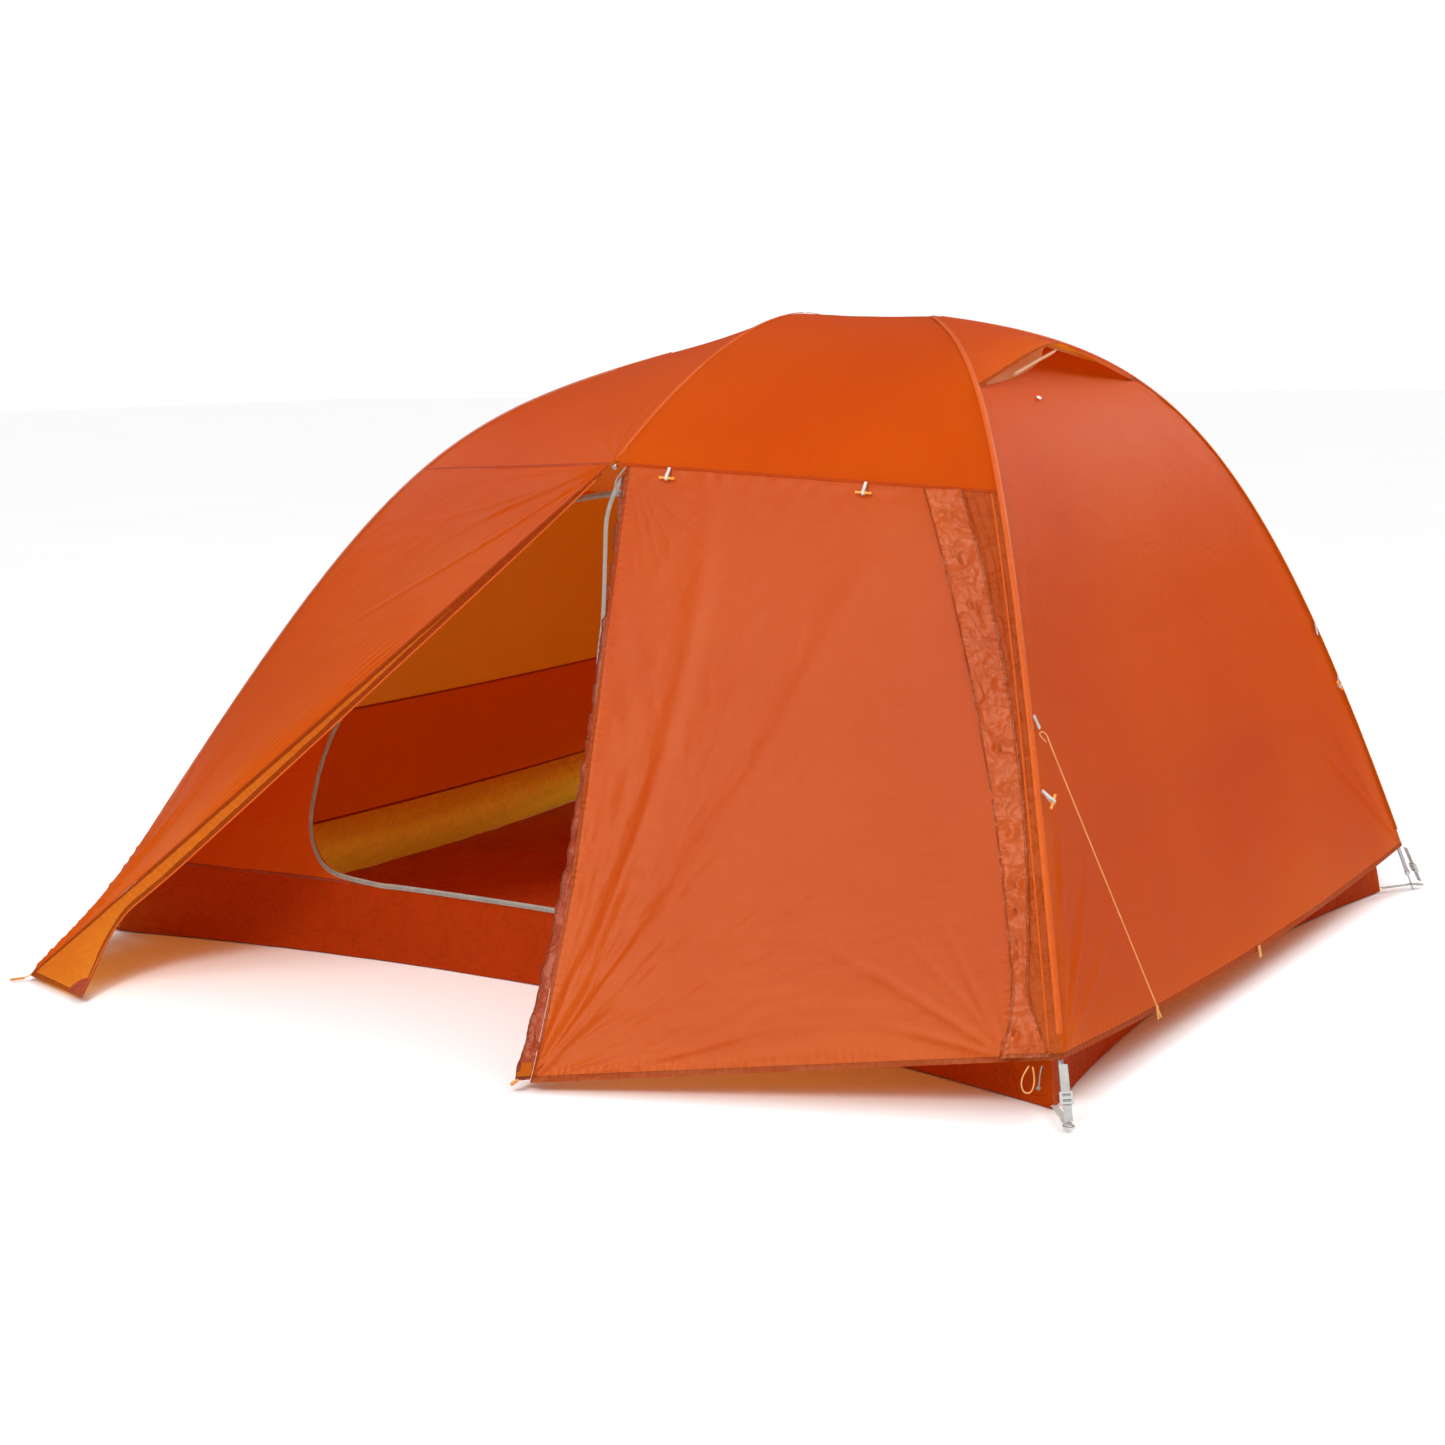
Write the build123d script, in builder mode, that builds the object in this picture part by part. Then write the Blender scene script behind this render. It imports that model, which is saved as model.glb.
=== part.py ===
"""A free-standing double-wall dome tent on hubbed poles.

Frame: origin on the ground at the middle of the floor, +Z up, the doors on the -Y and +Y sides,
the vented end at +X. The fly has its front vestibule open on the left and closed on the right.
"""

import os
from math import radians, tan

from build123d import *

os.makedirs("parts", exist_ok=True)

# ---------------------------------------------------------------- driving dimensions (mm)
TIP_X = 1318  # pole tips, half length and half width
TIP_Y = 1010
HUB = {1: Vector(488, 0, 1440), -1: Vector(-200, 0, 1377)}  # fly over the right and left hub
LEG = {1: ((0.380, 1206), (0.553, 1364)), -1: ((0.516, 1137), (0.587, 1220))}  # leg profile
CROSS = Vector(150, 0, 1456)  # fly over the crossing of ridge pole and brow pole
BROW_REACH = (260, 560, 745)  # forward reach and height of the brow pole's curve
BROW_HEIGHT = (1452, 1285, 1150)

POLE_R = 4.75
POLE_INSET = 14  # pole centre line inside the fly
TIP_INSET = 13
FERRULE_R = 5.9
FERRULE_T = 0.03  # ferrule length as a share of the leg
SHEET = 1.6  # fabric panels
ZIP_T = 2
FLAP_OVER = 5  # right storm flap, outside its panel
FLAP_UNDER = 4  # left storm flap and zip, inside it
SEAM = 3  # half the gap kept between neighbouring panels
INNER_INSET = 45  # inner tent inside the fly, on the legs
CORNER_PULL = 62  # floor corners held in from the pole tips by their straps
FLOOR_T = 2
TUB_Z = 172  # top of the bathtub wall
TUB_LENGTHS = 4  # each long tub wall is made up of this many lengths
TUB_JOIN = 0.4  # half the gap at their joins
WALL_Z = 490  # top of the solid lower wall
BROW_IN_Z = 1080  # top of the inner front wall
FLOOR_MID_Y = 797  # floor edge at the middle of the long sides
BROW_IN_Y = 690  # inner wall under the brow
FLOOR_PULL_X = 45
HEM_Z = 116
HEM_DROP = 38
SEAM_Z = {1: 1094, -1: 1111}  # brow seam where it meets the legs
VENT_Z = 1295  # top seam of the right end panel
VENT_LIFT = 71  # hood edge above that seam
END_SAG = 48

DOOR_CORNER = Vector(373, -1350, 20)  # pegged corner of the closed front panel
FLAP_CORNER = Vector(-1085, -1362, 10)  # pegged fold of the pulled-back front panel
REAR_CORNER = Vector(150, 1360, 20)
WEB_W = 16
WEB_T = 1.5
PIN_R = 2.6
GUY_R = 1.3


# ---------------------------------------------------------------- curves
def bezier(points, t):
    """A point on a cubic."""
    a, b, c, d = points
    s = 1 - t
    return a * s**3 + b * (3 * s * s * t) + c * (3 * s * t * t) + d * t**3


def part_of(points, t0, t1):
    """The control points of the stretch of a cubic from t0 to t1."""
    a = bezier(points, t0)
    d = bezier(points, t1)
    third = (t1 - t0) / 3
    step = (t1 - t0) / 1000
    b = a + (bezier(points, t0 + step) - a) * (third / step)
    c = d - (d - bezier(points, t1 - step)) * (third / step)
    return a, b, c, d


def leg_controls(side, face, inset=0.0, tip_inset=0.0):
    """The cubic of a leg: side +1 or -1 along X, face -1 front or +1 back."""
    hub = HUB[side]
    tip = Vector(side * TIP_X, face * TIP_Y, 0)
    plan = Vector(hub.X, 0, 0) - tip
    span = plan.length
    points = [tip + plan * (tip_inset / span)]
    for share, height in LEG[side]:
        points.append(tip + plan * (share + inset / span) + Vector(0, 0, height - inset))
    points.append(hub - Vector(0, 0, inset))
    return points


def leg_at(side, face, z, inset=0.0, tip_inset=0.0):
    """The point of a leg at a height."""
    points = leg_controls(side, face, inset, tip_inset)
    low, high = 0.0, 1.0
    for _ in range(40):
        mid = (low + high) / 2
        if bezier(points, mid).Z < z:
            low = mid
        else:
            high = mid
    return bezier(points, low)


def brow_controls(face, drop=0.0):
    """The cubic of half the brow pole, from the crossing to its tip."""
    points = [CROSS - Vector(0, 0, drop)]
    for reach, height in zip(BROW_REACH, BROW_HEIGHT):
        points.append(Vector(CROSS.X, face * reach, height - drop))
    return points


def inner_corner(side, face, z):
    """The inner tent's corner line, pulled in at the floor."""
    near_floor = max(0.0, 1 - z / 500)
    point = leg_at(side, face, z, INNER_INSET, INNER_INSET)
    away = Vector(HUB[side].X - point.X, -point.Y, 0).normalized()
    return point + away * (CORNER_PULL * near_floor**2)


def between(a, b, u):
    """A point between two, kept half a seam away from both."""
    width = (b - a).length
    edge = min(SEAM / max(width, 1e-6), 0.3)
    return a + (b - a) * (edge + (1 - 2 * edge) * u)


def trimmed(v, length):
    """A parameter kept half a seam away from 0 and 1 on a side of that length."""
    edge = SEAM / length
    return edge + (1 - 2 * edge) * v


# ---------------------------------------------------------------- surfaces, u across and v up
BROW_TIP = brow_controls(-1)[3]
REAR_TIP = brow_controls(1)[3]


def roof_skin(side, face):
    """A roof quarter between the ridge, a leg, the brow seam and the brow pole."""

    def skin(u, v):
        v = trimmed(v, 800)
        leg = leg_at(side, face, HUB[side].Z + (SEAM_Z[side] - HUB[side].Z) * v**1.6)
        brow = bezier(brow_controls(face), v)
        sag = (4 + 8 * v) * 4 * u * (1 - u)
        return between(leg, brow, u) - Vector(0, 0, sag)

    return skin


def end_skin(side, top, sag=END_SAG):
    """An end panel of the fly from the hem up to a height."""

    def skin(u, v):
        bow = 4 * u * (1 - u)
        hem = HEM_Z - HEM_DROP * bow
        z = hem + (top - hem) * trimmed(v, 1300)
        point = between(leg_at(side, -1, z), leg_at(side, 1, z), u)
        ease = min(1.0, 2.2 * (1 - v)) * min(1.0, 0.35 + 2.5 * v)
        return point - Vector(side * sag * bow * ease, 0, 0)

    return skin


def hood_skin(u, v):
    """The cap over the vent: flat at the hub, its lower edge lifted in the middle."""
    z = VENT_Z + (HUB[1].Z - 6 - VENT_Z) * trimmed(v, 400)
    point = between(leg_at(1, -1, z), leg_at(1, 1, z), u)
    peak = (1.01 - ((2 * u - 1) ** 2 + 0.02) ** 0.5) / 0.87
    lift = VENT_LIFT * peak * (1 - v) ** 1.4
    return point + Vector(0, 0, lift)


def front_skin(u, v):
    """The closed front panel and the strip beside it, ruled from its free edge to the leg."""
    left = DOOR_CORNER + (BROW_TIP - DOOR_CORNER) * v
    right = leg_at(1, -1, HEM_Z + (SEAM_Z[1] - HEM_Z) * v)
    return left + (right - left) * u


def zip_line(v):
    """Where the right-hand zip runs across the front panel."""
    return 0.912 + 0.150 * v - 0.212 * v * v


def left_wall_skin(u, v):
    """The pulled-out left front panel, ruled from the leg to the fold line."""
    v = trimmed(v, 1200)
    left = leg_at(-1, -1, HEM_Z - 8 + (SEAM_Z[-1] - HEM_Z + 8) * v)
    right = FLAP_CORNER + (BROW_TIP - FLAP_CORNER) * v
    return between(left, right, u)


def flap_width(v):
    """Width of the turned-back flap beside the fold: broad at the ground, narrow above."""
    return 52 * (1 - v) ** 0.7 + 200 * max(0.0, 1 - v / 0.17) ** 1.7


def flap_skin(u, v):
    """The turned-back flap, hanging from the fold line."""
    root = FLAP_CORNER + (BROW_TIP - FLAP_CORNER) * (0.004 + 0.975 * v)
    outward = Vector(0.975, -0.22, 0) * (1 - min(v, 0.25) / 0.25)
    outward += Vector(0.80, 0.05, -0.60) * (min(v, 0.25) / 0.25)
    return root + outward.normalized() * (SEAM + flap_width(v) * u)


def rear_skin(side):
    """A closed rear vestibule panel between a leg and the rear zip."""

    def skin(u, v):
        v = trimmed(v, 1200)
        leg = leg_at(side, 1, HEM_Z + (SEAM_Z[side] - HEM_Z) * v)
        seam = REAR_CORNER + (REAR_TIP - REAR_CORNER) * v
        return between(seam + Vector(side * 3, 0, 0), leg, u)

    return skin


def wall_push(face, z):
    """How far the middle of a long inner wall stands outside the line between its corners."""
    corners = (abs(inner_corner(-1, face, z).Y) + abs(inner_corner(1, face, z).Y)) / 2
    return FLOOR_MID_Y + (BROW_IN_Y - FLOOR_MID_Y) * z / BROW_IN_Z - corners


def long_wall_skin(face, z0, z1):
    """An inner front or back wall between two heights."""

    def skin(u, v):
        z = z0 + (z1 - z0) * v
        point = between(inner_corner(-1, face, z), inner_corner(1, face, z), u)
        return point + Vector(0, face * wall_push(face, z) * 4 * u * (1 - u), 0)

    return skin


def length_of(skin, index, count):
    """One of several equal lengths of a wall, end to end across it."""
    edge = TUB_JOIN / 600

    def skin_part(u, v):
        return skin((index + edge + (1 - 2 * edge) * u) / count, v)

    return skin_part


def short_wall_skin(side, z0, z1):
    """An inner end wall between two heights."""

    def skin(u, v):
        z = z0 + (z1 - z0) * v
        bow = 4 * u * (1 - u)
        pull = FLOOR_PULL_X * (1 - 0.5 * min(1.0, z / 900))
        point = between(inner_corner(side, -1, z), inner_corner(side, 1, z), u)
        return point - Vector(side * pull * bow, 0, 0)

    return skin


def ceiling_skin(face):
    """The inner roof from the front or back wall up to the ridge."""

    def skin(u, v):
        rise = trimmed(v, 800)
        ends = []
        for side in (-1, 1):
            top = HUB[side].Z - INNER_INSET - 4
            ends.append(inner_corner(side, face, BROW_IN_Z + (top - BROW_IN_Z) * rise**0.7))
        push = wall_push(face, BROW_IN_Z) * 4 * u * (1 - u) * (1 - v)
        return between(ends[0], ends[1], u) + Vector(0, face * (push + 2 * v), 0)

    return skin


# ---------------------------------------------------------------- builders
def save(builder, label):
    """Label a finished piece and write it."""
    builder.part.label = label
    export_step(builder.part, f"parts/{label}.step")


def face_of(skin, columns=6, rows=6):
    """A smooth face through a grid of points of a surface."""
    return Face.make_surface_from_array_of_points(
        [[skin(i / columns, j / rows) for j in range(rows + 1)] for i in range(columns + 1)]
    )


def sheet(label, skins, columns=6, rows=6, thickness=SHEET):
    """Fabric panels, one for each surface, in one piece of the tent."""
    with BuildPart() as panel:
        for skin in skins:
            thicken(face_of(skin, columns, rows), amount=thickness)
    save(panel, label)


def shifted(skin, amount):
    """A surface moved along its own normal."""

    def moved(u, v):
        step = 0.01
        du = skin(min(u + step, 1), v) - skin(max(u - step, 0), v)
        dv = skin(u, min(v + step, 1)) - skin(u, max(v - step, 0))
        return skin(u, v) + du.cross(dv).normalized() * amount

    return moved


def add_rod(points, radius, hole=0.0):
    """A round rod or sleeve along a cubic, into the open part."""
    with BuildLine() as run:
        Bezier(*points)
    with BuildSketch(Plane(origin=run.line @ 0, z_dir=run.line % 0)) as section:
        Circle(radius)
        if hole:
            Circle(hole, mode=Mode.SUBTRACT)
    sweep(section.sketch, path=run.line)


def add_strap(start, end, width, thickness, across):
    """A flat strap from one point to another, into the open part."""
    run = end - start
    with BuildSketch(Plane(origin=start, x_dir=across, z_dir=run)) as section:
        Rectangle(width, thickness)
    extrude(section.sketch, amount=run.length)


# ---------------------------------------------------------------- frame: poles, hubs, tips
NAMES = {(1, -1): "front_right", (-1, -1): "front_left", (1, 1): "back_right", (-1, 1): "back_left"}
TIP_END_T = 0.014
HUB_END_T = {1: 0.972, -1: 0.965}
RIDGE = [Vector(-200, 0, 1360), Vector(-20, 0, 1404), Vector(200, 0, 1430), Vector(488, 0, 1423)]

for (side, face), name in NAMES.items():
    with BuildPart() as pole:
        leg_line = leg_controls(side, face, POLE_INSET, TIP_INSET)
        add_rod(part_of(leg_line, TIP_END_T, HUB_END_T[side]), POLE_R)
    save(pole, f"pole_{name}")

with BuildPart() as ridge_pole:
    add_rod(part_of(RIDGE, 0.034, 0.966), POLE_R)
save(ridge_pole, "pole_ridge")

BROW_DROP = 14
with BuildPart() as brow_pole:
    front_half = brow_controls(-1, BROW_DROP)
    back_half = brow_controls(1, BROW_DROP)
    with BuildLine() as brow_line:
        Bezier(*part_of(front_half, 0, 0.975)[::-1])
        Bezier(*part_of(back_half, 0, 0.975))
    with BuildSketch(Plane(origin=brow_line.line @ 0, z_dir=brow_line.line % 0)):
        Circle(POLE_R)
    sweep(path=brow_line.line)
save(brow_pole, "pole_brow")

with BuildPart() as ferrules:
    for side, face in NAMES:
        leg_line = leg_controls(side, face, POLE_INSET, TIP_INSET)
        for t in (0.20, 0.42, 0.66):
            add_rod(part_of(leg_line, t, t + FERRULE_T), FERRULE_R, POLE_R + 0.35)
save(ferrules, "pole_ferrules")

HUB_DISC_R = 15
with BuildPart() as hubs:
    for side in (1, -1):
        centre = HUB[side] - Vector(0, 0, 17)
        with BuildSketch(Plane(origin=centre - Vector(0, 0, 7), z_dir=(0, 0, 1))):
            Circle(HUB_DISC_R - 4)
        extrude(amount=14)
        for face in (-1, 1):
            leg_line = leg_controls(side, face, POLE_INSET, TIP_INSET)
            end = HUB_END_T[side]
            add_rod(part_of(leg_line, end - 0.035, end + 0.006), 7.2, POLE_R + 0.15)
            add_rod(part_of(leg_line, end + 0.001, 0.999), 5.5)
        ends = (0.905, 0.972) if side == 1 else (0.028, 0.095)
        add_rod(part_of(RIDGE, *ends), 7.2, POLE_R + 0.15)
        stub = (0.967, 0.999) if side == 1 else (0.001, 0.033)
        add_rod(part_of(RIDGE, *stub), 5.5)
save(hubs, "pole_hubs")

# The swivel that carries the brow pole on the ridge pole
with BuildPart() as swivel:
    ridge_t = 0.5685
    add_rod(part_of(RIDGE, ridge_t - 0.028, ridge_t + 0.028), 7.6, POLE_R + 0.05)
    with BuildSketch(Plane(origin=CROSS - Vector(0, 0, BROW_DROP + 9), z_dir=(0, 0, -1))):
        Circle(4.5)
    extrude(amount=7)
save(swivel, "brow_swivel")

with BuildPart() as pole_tips:
    for side, face in NAMES:
        leg_line = leg_controls(side, face, POLE_INSET, TIP_INSET)
        base = leg_line[0]
        along = (bezier(leg_line, TIP_END_T) - base).normalized()
        top = (bezier(leg_line, TIP_END_T) - base).length
        with BuildSketch(Plane(origin=base + along * 1.2, z_dir=along)):
            Circle(PIN_R)
        extrude(amount=top - 9)
        with BuildSketch(Plane(origin=base + along * (top - 10), z_dir=along)):
            Circle(6.2)
        extrude(amount=9.9)
    for face in (-1, 1):
        brow_end = part_of(brow_controls(face, BROW_DROP), 0.976, 0.9995)
        add_rod(brow_end, 6.0)
save(pole_tips, "pole_tips")

# ---------------------------------------------------------------- inner tent
with BuildPart() as floor_sheet:
    with BuildSketch() as outline:
        with BuildLine():
            corners = {key: inner_corner(key[0], key[1], 0) for key in NAMES}
            for face in (-1, 1):
                middle_x = (corners[-1, face] + corners[1, face]).X / 2
                mid = Vector(middle_x, face * FLOOR_MID_Y, 0)
                Spline(corners[-1, face], mid, corners[1, face])
            for side in (-1, 1):
                mid = (corners[side, -1] + corners[side, 1]) / 2 - Vector(side * FLOOR_PULL_X, 0, 0)
                Spline(corners[side, -1], mid, corners[side, 1])
        make_face()
    extrude(amount=FLOOR_T)
save(floor_sheet, "floor_sheet")

LOW = FLOOR_T + 2
WALL_LOW = TUB_Z + 1.5
long_lengths = [
    length_of(long_wall_skin(face, LOW, TUB_Z - 1.5), index, TUB_LENGTHS)
    for face in (-1, 1)
    for index in range(TUB_LENGTHS)
]
short_walls = [short_wall_skin(side, LOW, TUB_Z - 1.5) for side in (-1, 1)]
sheet("tub_walls", long_lengths + short_walls, 8, 3)
sheet("inner_walls_end", [short_wall_skin(side, WALL_LOW, WALL_Z - 1.5) for side in (-1, 1)], 8, 3)
sheet(
    "inner_gables",
    [short_wall_skin(side, WALL_Z + 1.5, HUB[side].Z - INNER_INSET - 6) for side in (-1, 1)],
    8,
    10,
)
sheet("inner_ceiling", [ceiling_skin(face) for face in (-1, 1)], 8, 6)
sheet("inner_wall_back", [long_wall_skin(1, WALL_LOW, BROW_IN_Z - 2)], 8, 8)

# Doorway: rounded low corner, sloping left side, high arch under the brow, straight hinge side
DOOR_HINGE_X = 330
ZIP_STAND = 6.5  # door zip outside the wall
ZIP_R = 2.4
DOOR_LOW = 178
DOOR_EDGE = [
    (-640, DOOR_LOW),
    (-745, DOOR_LOW + 28),
    (-783, 270),
    (-752, 400),
    (-672, 552),
    (-480, 790),
    (-230, 966),
    (60, 1046),
    (250, 1036),
    (DOOR_HINGE_X, 960),
]


def doorway(grow=0.0):
    """The doorway's outline on the XZ plane, grown or shrunk evenly."""
    with BuildSketch(Plane.XZ) as outline:
        with BuildLine():
            curve = Spline(*DOOR_EDGE)
            Line(curve @ 1, (DOOR_HINGE_X, DOOR_LOW))
            Line((DOOR_HINGE_X, DOOR_LOW), curve @ 0)
        make_face()
        if grow:
            offset(amount=grow, kind=Kind.ARC)
    return outline.sketch


with BuildPart() as inner_front:
    thicken(face_of(long_wall_skin(-1, TUB_Z + 1.5, BROW_IN_Z - 2), 8, 8), amount=SHEET)
    extrude(doorway(), amount=1000, mode=Mode.SUBTRACT)
save(inner_front, "inner_wall_front")


def front_wall_y(x, z):
    """Where the inner front wall stands at a place across and up."""
    low, high = 0.0, 1.0
    skin = long_wall_skin(-1, 0, BROW_IN_Z)
    for _ in range(30):
        mid = (low + high) / 2
        if skin(mid, z / BROW_IN_Z).X < x:
            low = mid
        else:
            high = mid
    return skin(low, z / BROW_IN_Z).Y


# Door zip: a piping that follows the doorway's edge just outside the wall
with BuildPart() as door_zip:
    with BuildLine() as zip_path:
        low_run = [(x, DOOR_LOW - 5) for x in (325, 60, -200, -450)]
        grown = [(x * 1.008 - 2, z + 3 * (z - 500) / 500) for x, z in DOOR_EDGE[:-1]]
        stops = [Vector(x, front_wall_y(x, z) - ZIP_STAND, z) for x, z in low_run + grown]
        Spline(*stops)
    with BuildSketch(Plane(origin=zip_path.line @ 0, z_dir=zip_path.line % 0)):
        Circle(ZIP_R)
    sweep()
save(door_zip, "inner_door_zip")

# Open door panel: gathered in loose folds along its hinge side, hanging outside the wall
BUNDLE_X = 244
BUNDLE_W = (128, 150, 158, 150, 112)
BUNDLE_Z = (200, 390, 590, 780, 930)
with BuildPart() as door_bundle:
    for z, width in zip(BUNDLE_Z, BUNDLE_W):
        y = front_wall_y(BUNDLE_X, z) - 24
        with BuildSketch(Plane.XY.offset(z)):
            with Locations((BUNDLE_X + (158 - width) / 4, y)):
                RectangleRounded(width, 22, 9)
    loft()
save(door_bundle, "inner_door_panel")
hinge_low = Vector(DOOR_HINGE_X - 4, front_wall_y(DOOR_HINGE_X, 200) - 14, 200)
hinge_high = Vector(DOOR_HINGE_X - 4, front_wall_y(DOOR_HINGE_X, 1000) - 14, 1000)

# Door slider, on the straight lower run of the zip
SLIDER_X = 296
slider_y = front_wall_y(SLIDER_X, DOOR_LOW) - ZIP_STAND - 4
with BuildPart() as door_slider:
    with BuildSketch(Plane(origin=(SLIDER_X, slider_y, DOOR_LOW), x_dir=(1, 0, 0), z_dir=(0, -1, 0))):
        RectangleRounded(15, 10, 3)
    extrude(amount=4)
    with BuildSketch(Plane(origin=(SLIDER_X, slider_y - 2, DOOR_LOW - 5), x_dir=(1, 0, 0), z_dir=(0, 0, -1))):
        RectangleRounded(6, 2.4, 1)
    extrude(amount=30)
save(door_slider, "inner_door_slider")

# ---------------------------------------------------------------- fly, fixed panels
sheet("fly_roof_front", [roof_skin(side, -1) for side in (-1, 1)])
sheet("fly_roof_back", [roof_skin(side, 1) for side in (-1, 1)])
sheet("fly_end_left", [end_skin(-1, HUB[-1].Z - 8)], 8, 12)


def vented_end_skin(u, v):
    """The right end panel, its top edge rising under the hood."""
    top = VENT_Z - 2 * SEAM + 50 * (1 - abs(2 * u - 1)) ** 1.3
    return end_skin(1, top)(u, v)


sheet("fly_end_right", [vented_end_skin], 10, 10)
sheet("fly_vent_hood", [hood_skin], 12, 5)


def vent_mesh_skin(u, v):
    """Mesh between the end panel's free top edge and the hood's underside."""
    across = 0.24 + 0.52 * u
    low = vented_end_skin(across, 1)
    high = hood_skin(across, 0.62) - Vector(0, 0, 6)
    return low + (high - low) * (0.05 + 0.9 * v)


sheet("vent_mesh", [vent_mesh_skin], 8, 2)
sheet("fly_wall_left", [left_wall_skin], 6, 8)
sheet("fly_rear_panels", [rear_skin(side) for side in (-1, 1)], 6, 8)
with BuildPart() as rear_zip:
    rise = REAR_TIP - REAR_CORNER
    add_strap(REAR_CORNER + rise * 0.01, REAR_CORNER + rise * 0.985, 4, 2.4, (1, 0, 0))
save(rear_zip, "fly_rear_zip")

# ---------------------------------------------------------------- front vestibule panel
ZIP_HALF = 5


def front_width(v):
    """Width of the front panel from its free edge to the leg."""
    return (front_skin(1, v) - front_skin(0, v)).length


def door_skin(u, v):
    """The lifting panel between its free edge and the right-hand zip."""
    rise = 0.002 + 0.993 * v
    return front_skin(u * (zip_line(rise) - ZIP_HALF / front_width(rise)), rise)


def strip_skin(u, v):
    """The fixed strip between the right-hand zip and the leg."""
    rise = 0.002 + 0.993 * v
    low = zip_line(rise) + ZIP_HALF / front_width(rise)
    high = 1 - SEAM / front_width(rise)
    return front_skin(low + (high - low) * u, rise)


def zip_skin(u, v):
    """The right-hand zip's coil."""
    rise = 0.004 + 0.985 * v
    return front_skin(zip_line(rise) + (u - 0.5) * 6 / front_width(rise), rise)


def right_flap_skin(u, v):
    """The storm flap over the right-hand zip."""
    rise = 0.012 + 0.965 * v
    return front_skin(zip_line(rise) - 0.042 + (0.070 + 0.014 * rise) * u, rise)


def left_flap_skin(u, v):
    """The storm flap behind the panel's free edge."""
    rise = 0.006 + 0.975 * v
    return front_skin((0.030 * rise - 0.049) * (1 - u) - 0.003 * u, rise)


def free_zip_skin(u, v):
    """The zip half on the panel's free edge."""
    rise = 0.010 + 0.965 * v
    return front_skin(0.001 + 0.006 * u, rise)


sheet("fly_front_panel", [door_skin], 8, 8)
sheet("fly_front_strip", [strip_skin], 3, 8)
sheet("fly_zip_right", [zip_skin], 2, 8, ZIP_T)
sheet("storm_flap_right", [shifted(right_flap_skin, FLAP_OVER)], 3, 8)
sheet("storm_flap_left", [shifted(left_flap_skin, -FLAP_UNDER - SHEET)], 3, 6)
sheet("fly_zip_left", [shifted(free_zip_skin, -FLAP_UNDER - ZIP_T)], 2, 6, ZIP_T)
hinge_end = leg_at(1, -1, SEAM_Z[1])

# Slider on the free edge's zip, near the ground
edge_run = (BROW_TIP - DOOR_CORNER).normalized()
edge_across = (front_skin(0.01, 0.05) - front_skin(0, 0.05)).normalized()
edge_in = edge_run.cross(edge_across) * -1
if edge_in.Y < 0:
    edge_in = edge_in * -1
slider_at = front_skin(0.004, 0.05) + edge_in * 11
with BuildPart() as fly_slider:
    with BuildSketch(Plane(origin=slider_at, x_dir=edge_across, z_dir=edge_run)):
        RectangleRounded(11, 5, 1.5)
    extrude(amount=15)
    with BuildSketch(Plane(origin=slider_at + edge_in * 3, x_dir=edge_across, z_dir=edge_run * -1)):
        RectangleRounded(6, 2.4, 1)
    extrude(amount=24)
save(fly_slider, "fly_zip_slider")

LOOP_R = 16
with BuildPart() as peg_loop:
    loop_at = DOOR_CORNER + Vector(-25, -12, -2)
    with BuildSketch(Plane(origin=loop_at, x_dir=(0.8, -0.2, 0.55), z_dir=(-0.55, 0.1, 0.83))):
        with BuildLine():
            RadiusArc((-14, 0), (14, 0), -LOOP_R)
            RadiusArc((14, 0), (-14, 0), -60)
        make_face()
        offset(amount=-1.6, mode=Mode.SUBTRACT)
    extrude(amount=5)
save(peg_loop, "front_peg_loop")

# ---------------------------------------------------------------- turned-back flap
sheet("left_flap", [flap_skin], 4, 16)


def flap_zip_skin(u, v):
    """The zip half along the flap's free edge."""
    reach = 1 + (7 + 6 * u) / flap_width(min(v, 0.985))
    return flap_skin(reach, 0.004 + 0.985 * v)


sheet("left_flap_zip", [flap_zip_skin], 2, 16, ZIP_T)

# ---------------------------------------------------------------- vent strut and patch
strut_base = vented_end_skin(0.22, 1) + Vector(6, 0, 7)
strut_top = hood_skin(0.48, 0) - Vector(0, 0, 9)
with BuildPart() as strut:
    add_strap(strut_base, strut_top, 10, 2.5, (0.66, 0, 0.75))
save(strut, "vent_strut")
patch_at = vented_end_skin(0.30, 0.955)
with BuildPart() as patch:
    with BuildSketch(Plane(origin=patch_at + Vector(3, 0, 3.4), x_dir=(0, 1, 0), z_dir=(0.66, 0, 0.75))):
        Ellipse(8, 5)
    extrude(amount=1.2)
save(patch, "vent_patch")

# ---------------------------------------------------------------- corner webbing, buckles, rings
UP = Vector(0, 0, 1)
RING_R = 7.5
RING_OUT = 17
RING_LOW = 9
RING_T = 3
TAB_OVER = 3.4  # tab's height over the ring's underside
TAB_OUT = 3
TAB_LENGTH = 36
TAB_HOLE = 4.2  # clears the slanted pin of the pole tip
BUCKLE_RISE = 0.30  # buckle's place up the strap
BUCKLE_H = 22


def corner_frame(side, face):
    """A corner's tip, its outward direction in plan, and the strap's two ends."""
    tip = leg_controls(side, face, POLE_INSET, TIP_INSET)[0]
    out = (tip - Vector(HUB[side].X, 0, 0)).normalized()
    high = leg_at(side, face, HEM_Z - 6) + out * 6
    low = tip + out * 18 + UP * 20
    return tip, out, high, low


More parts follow.
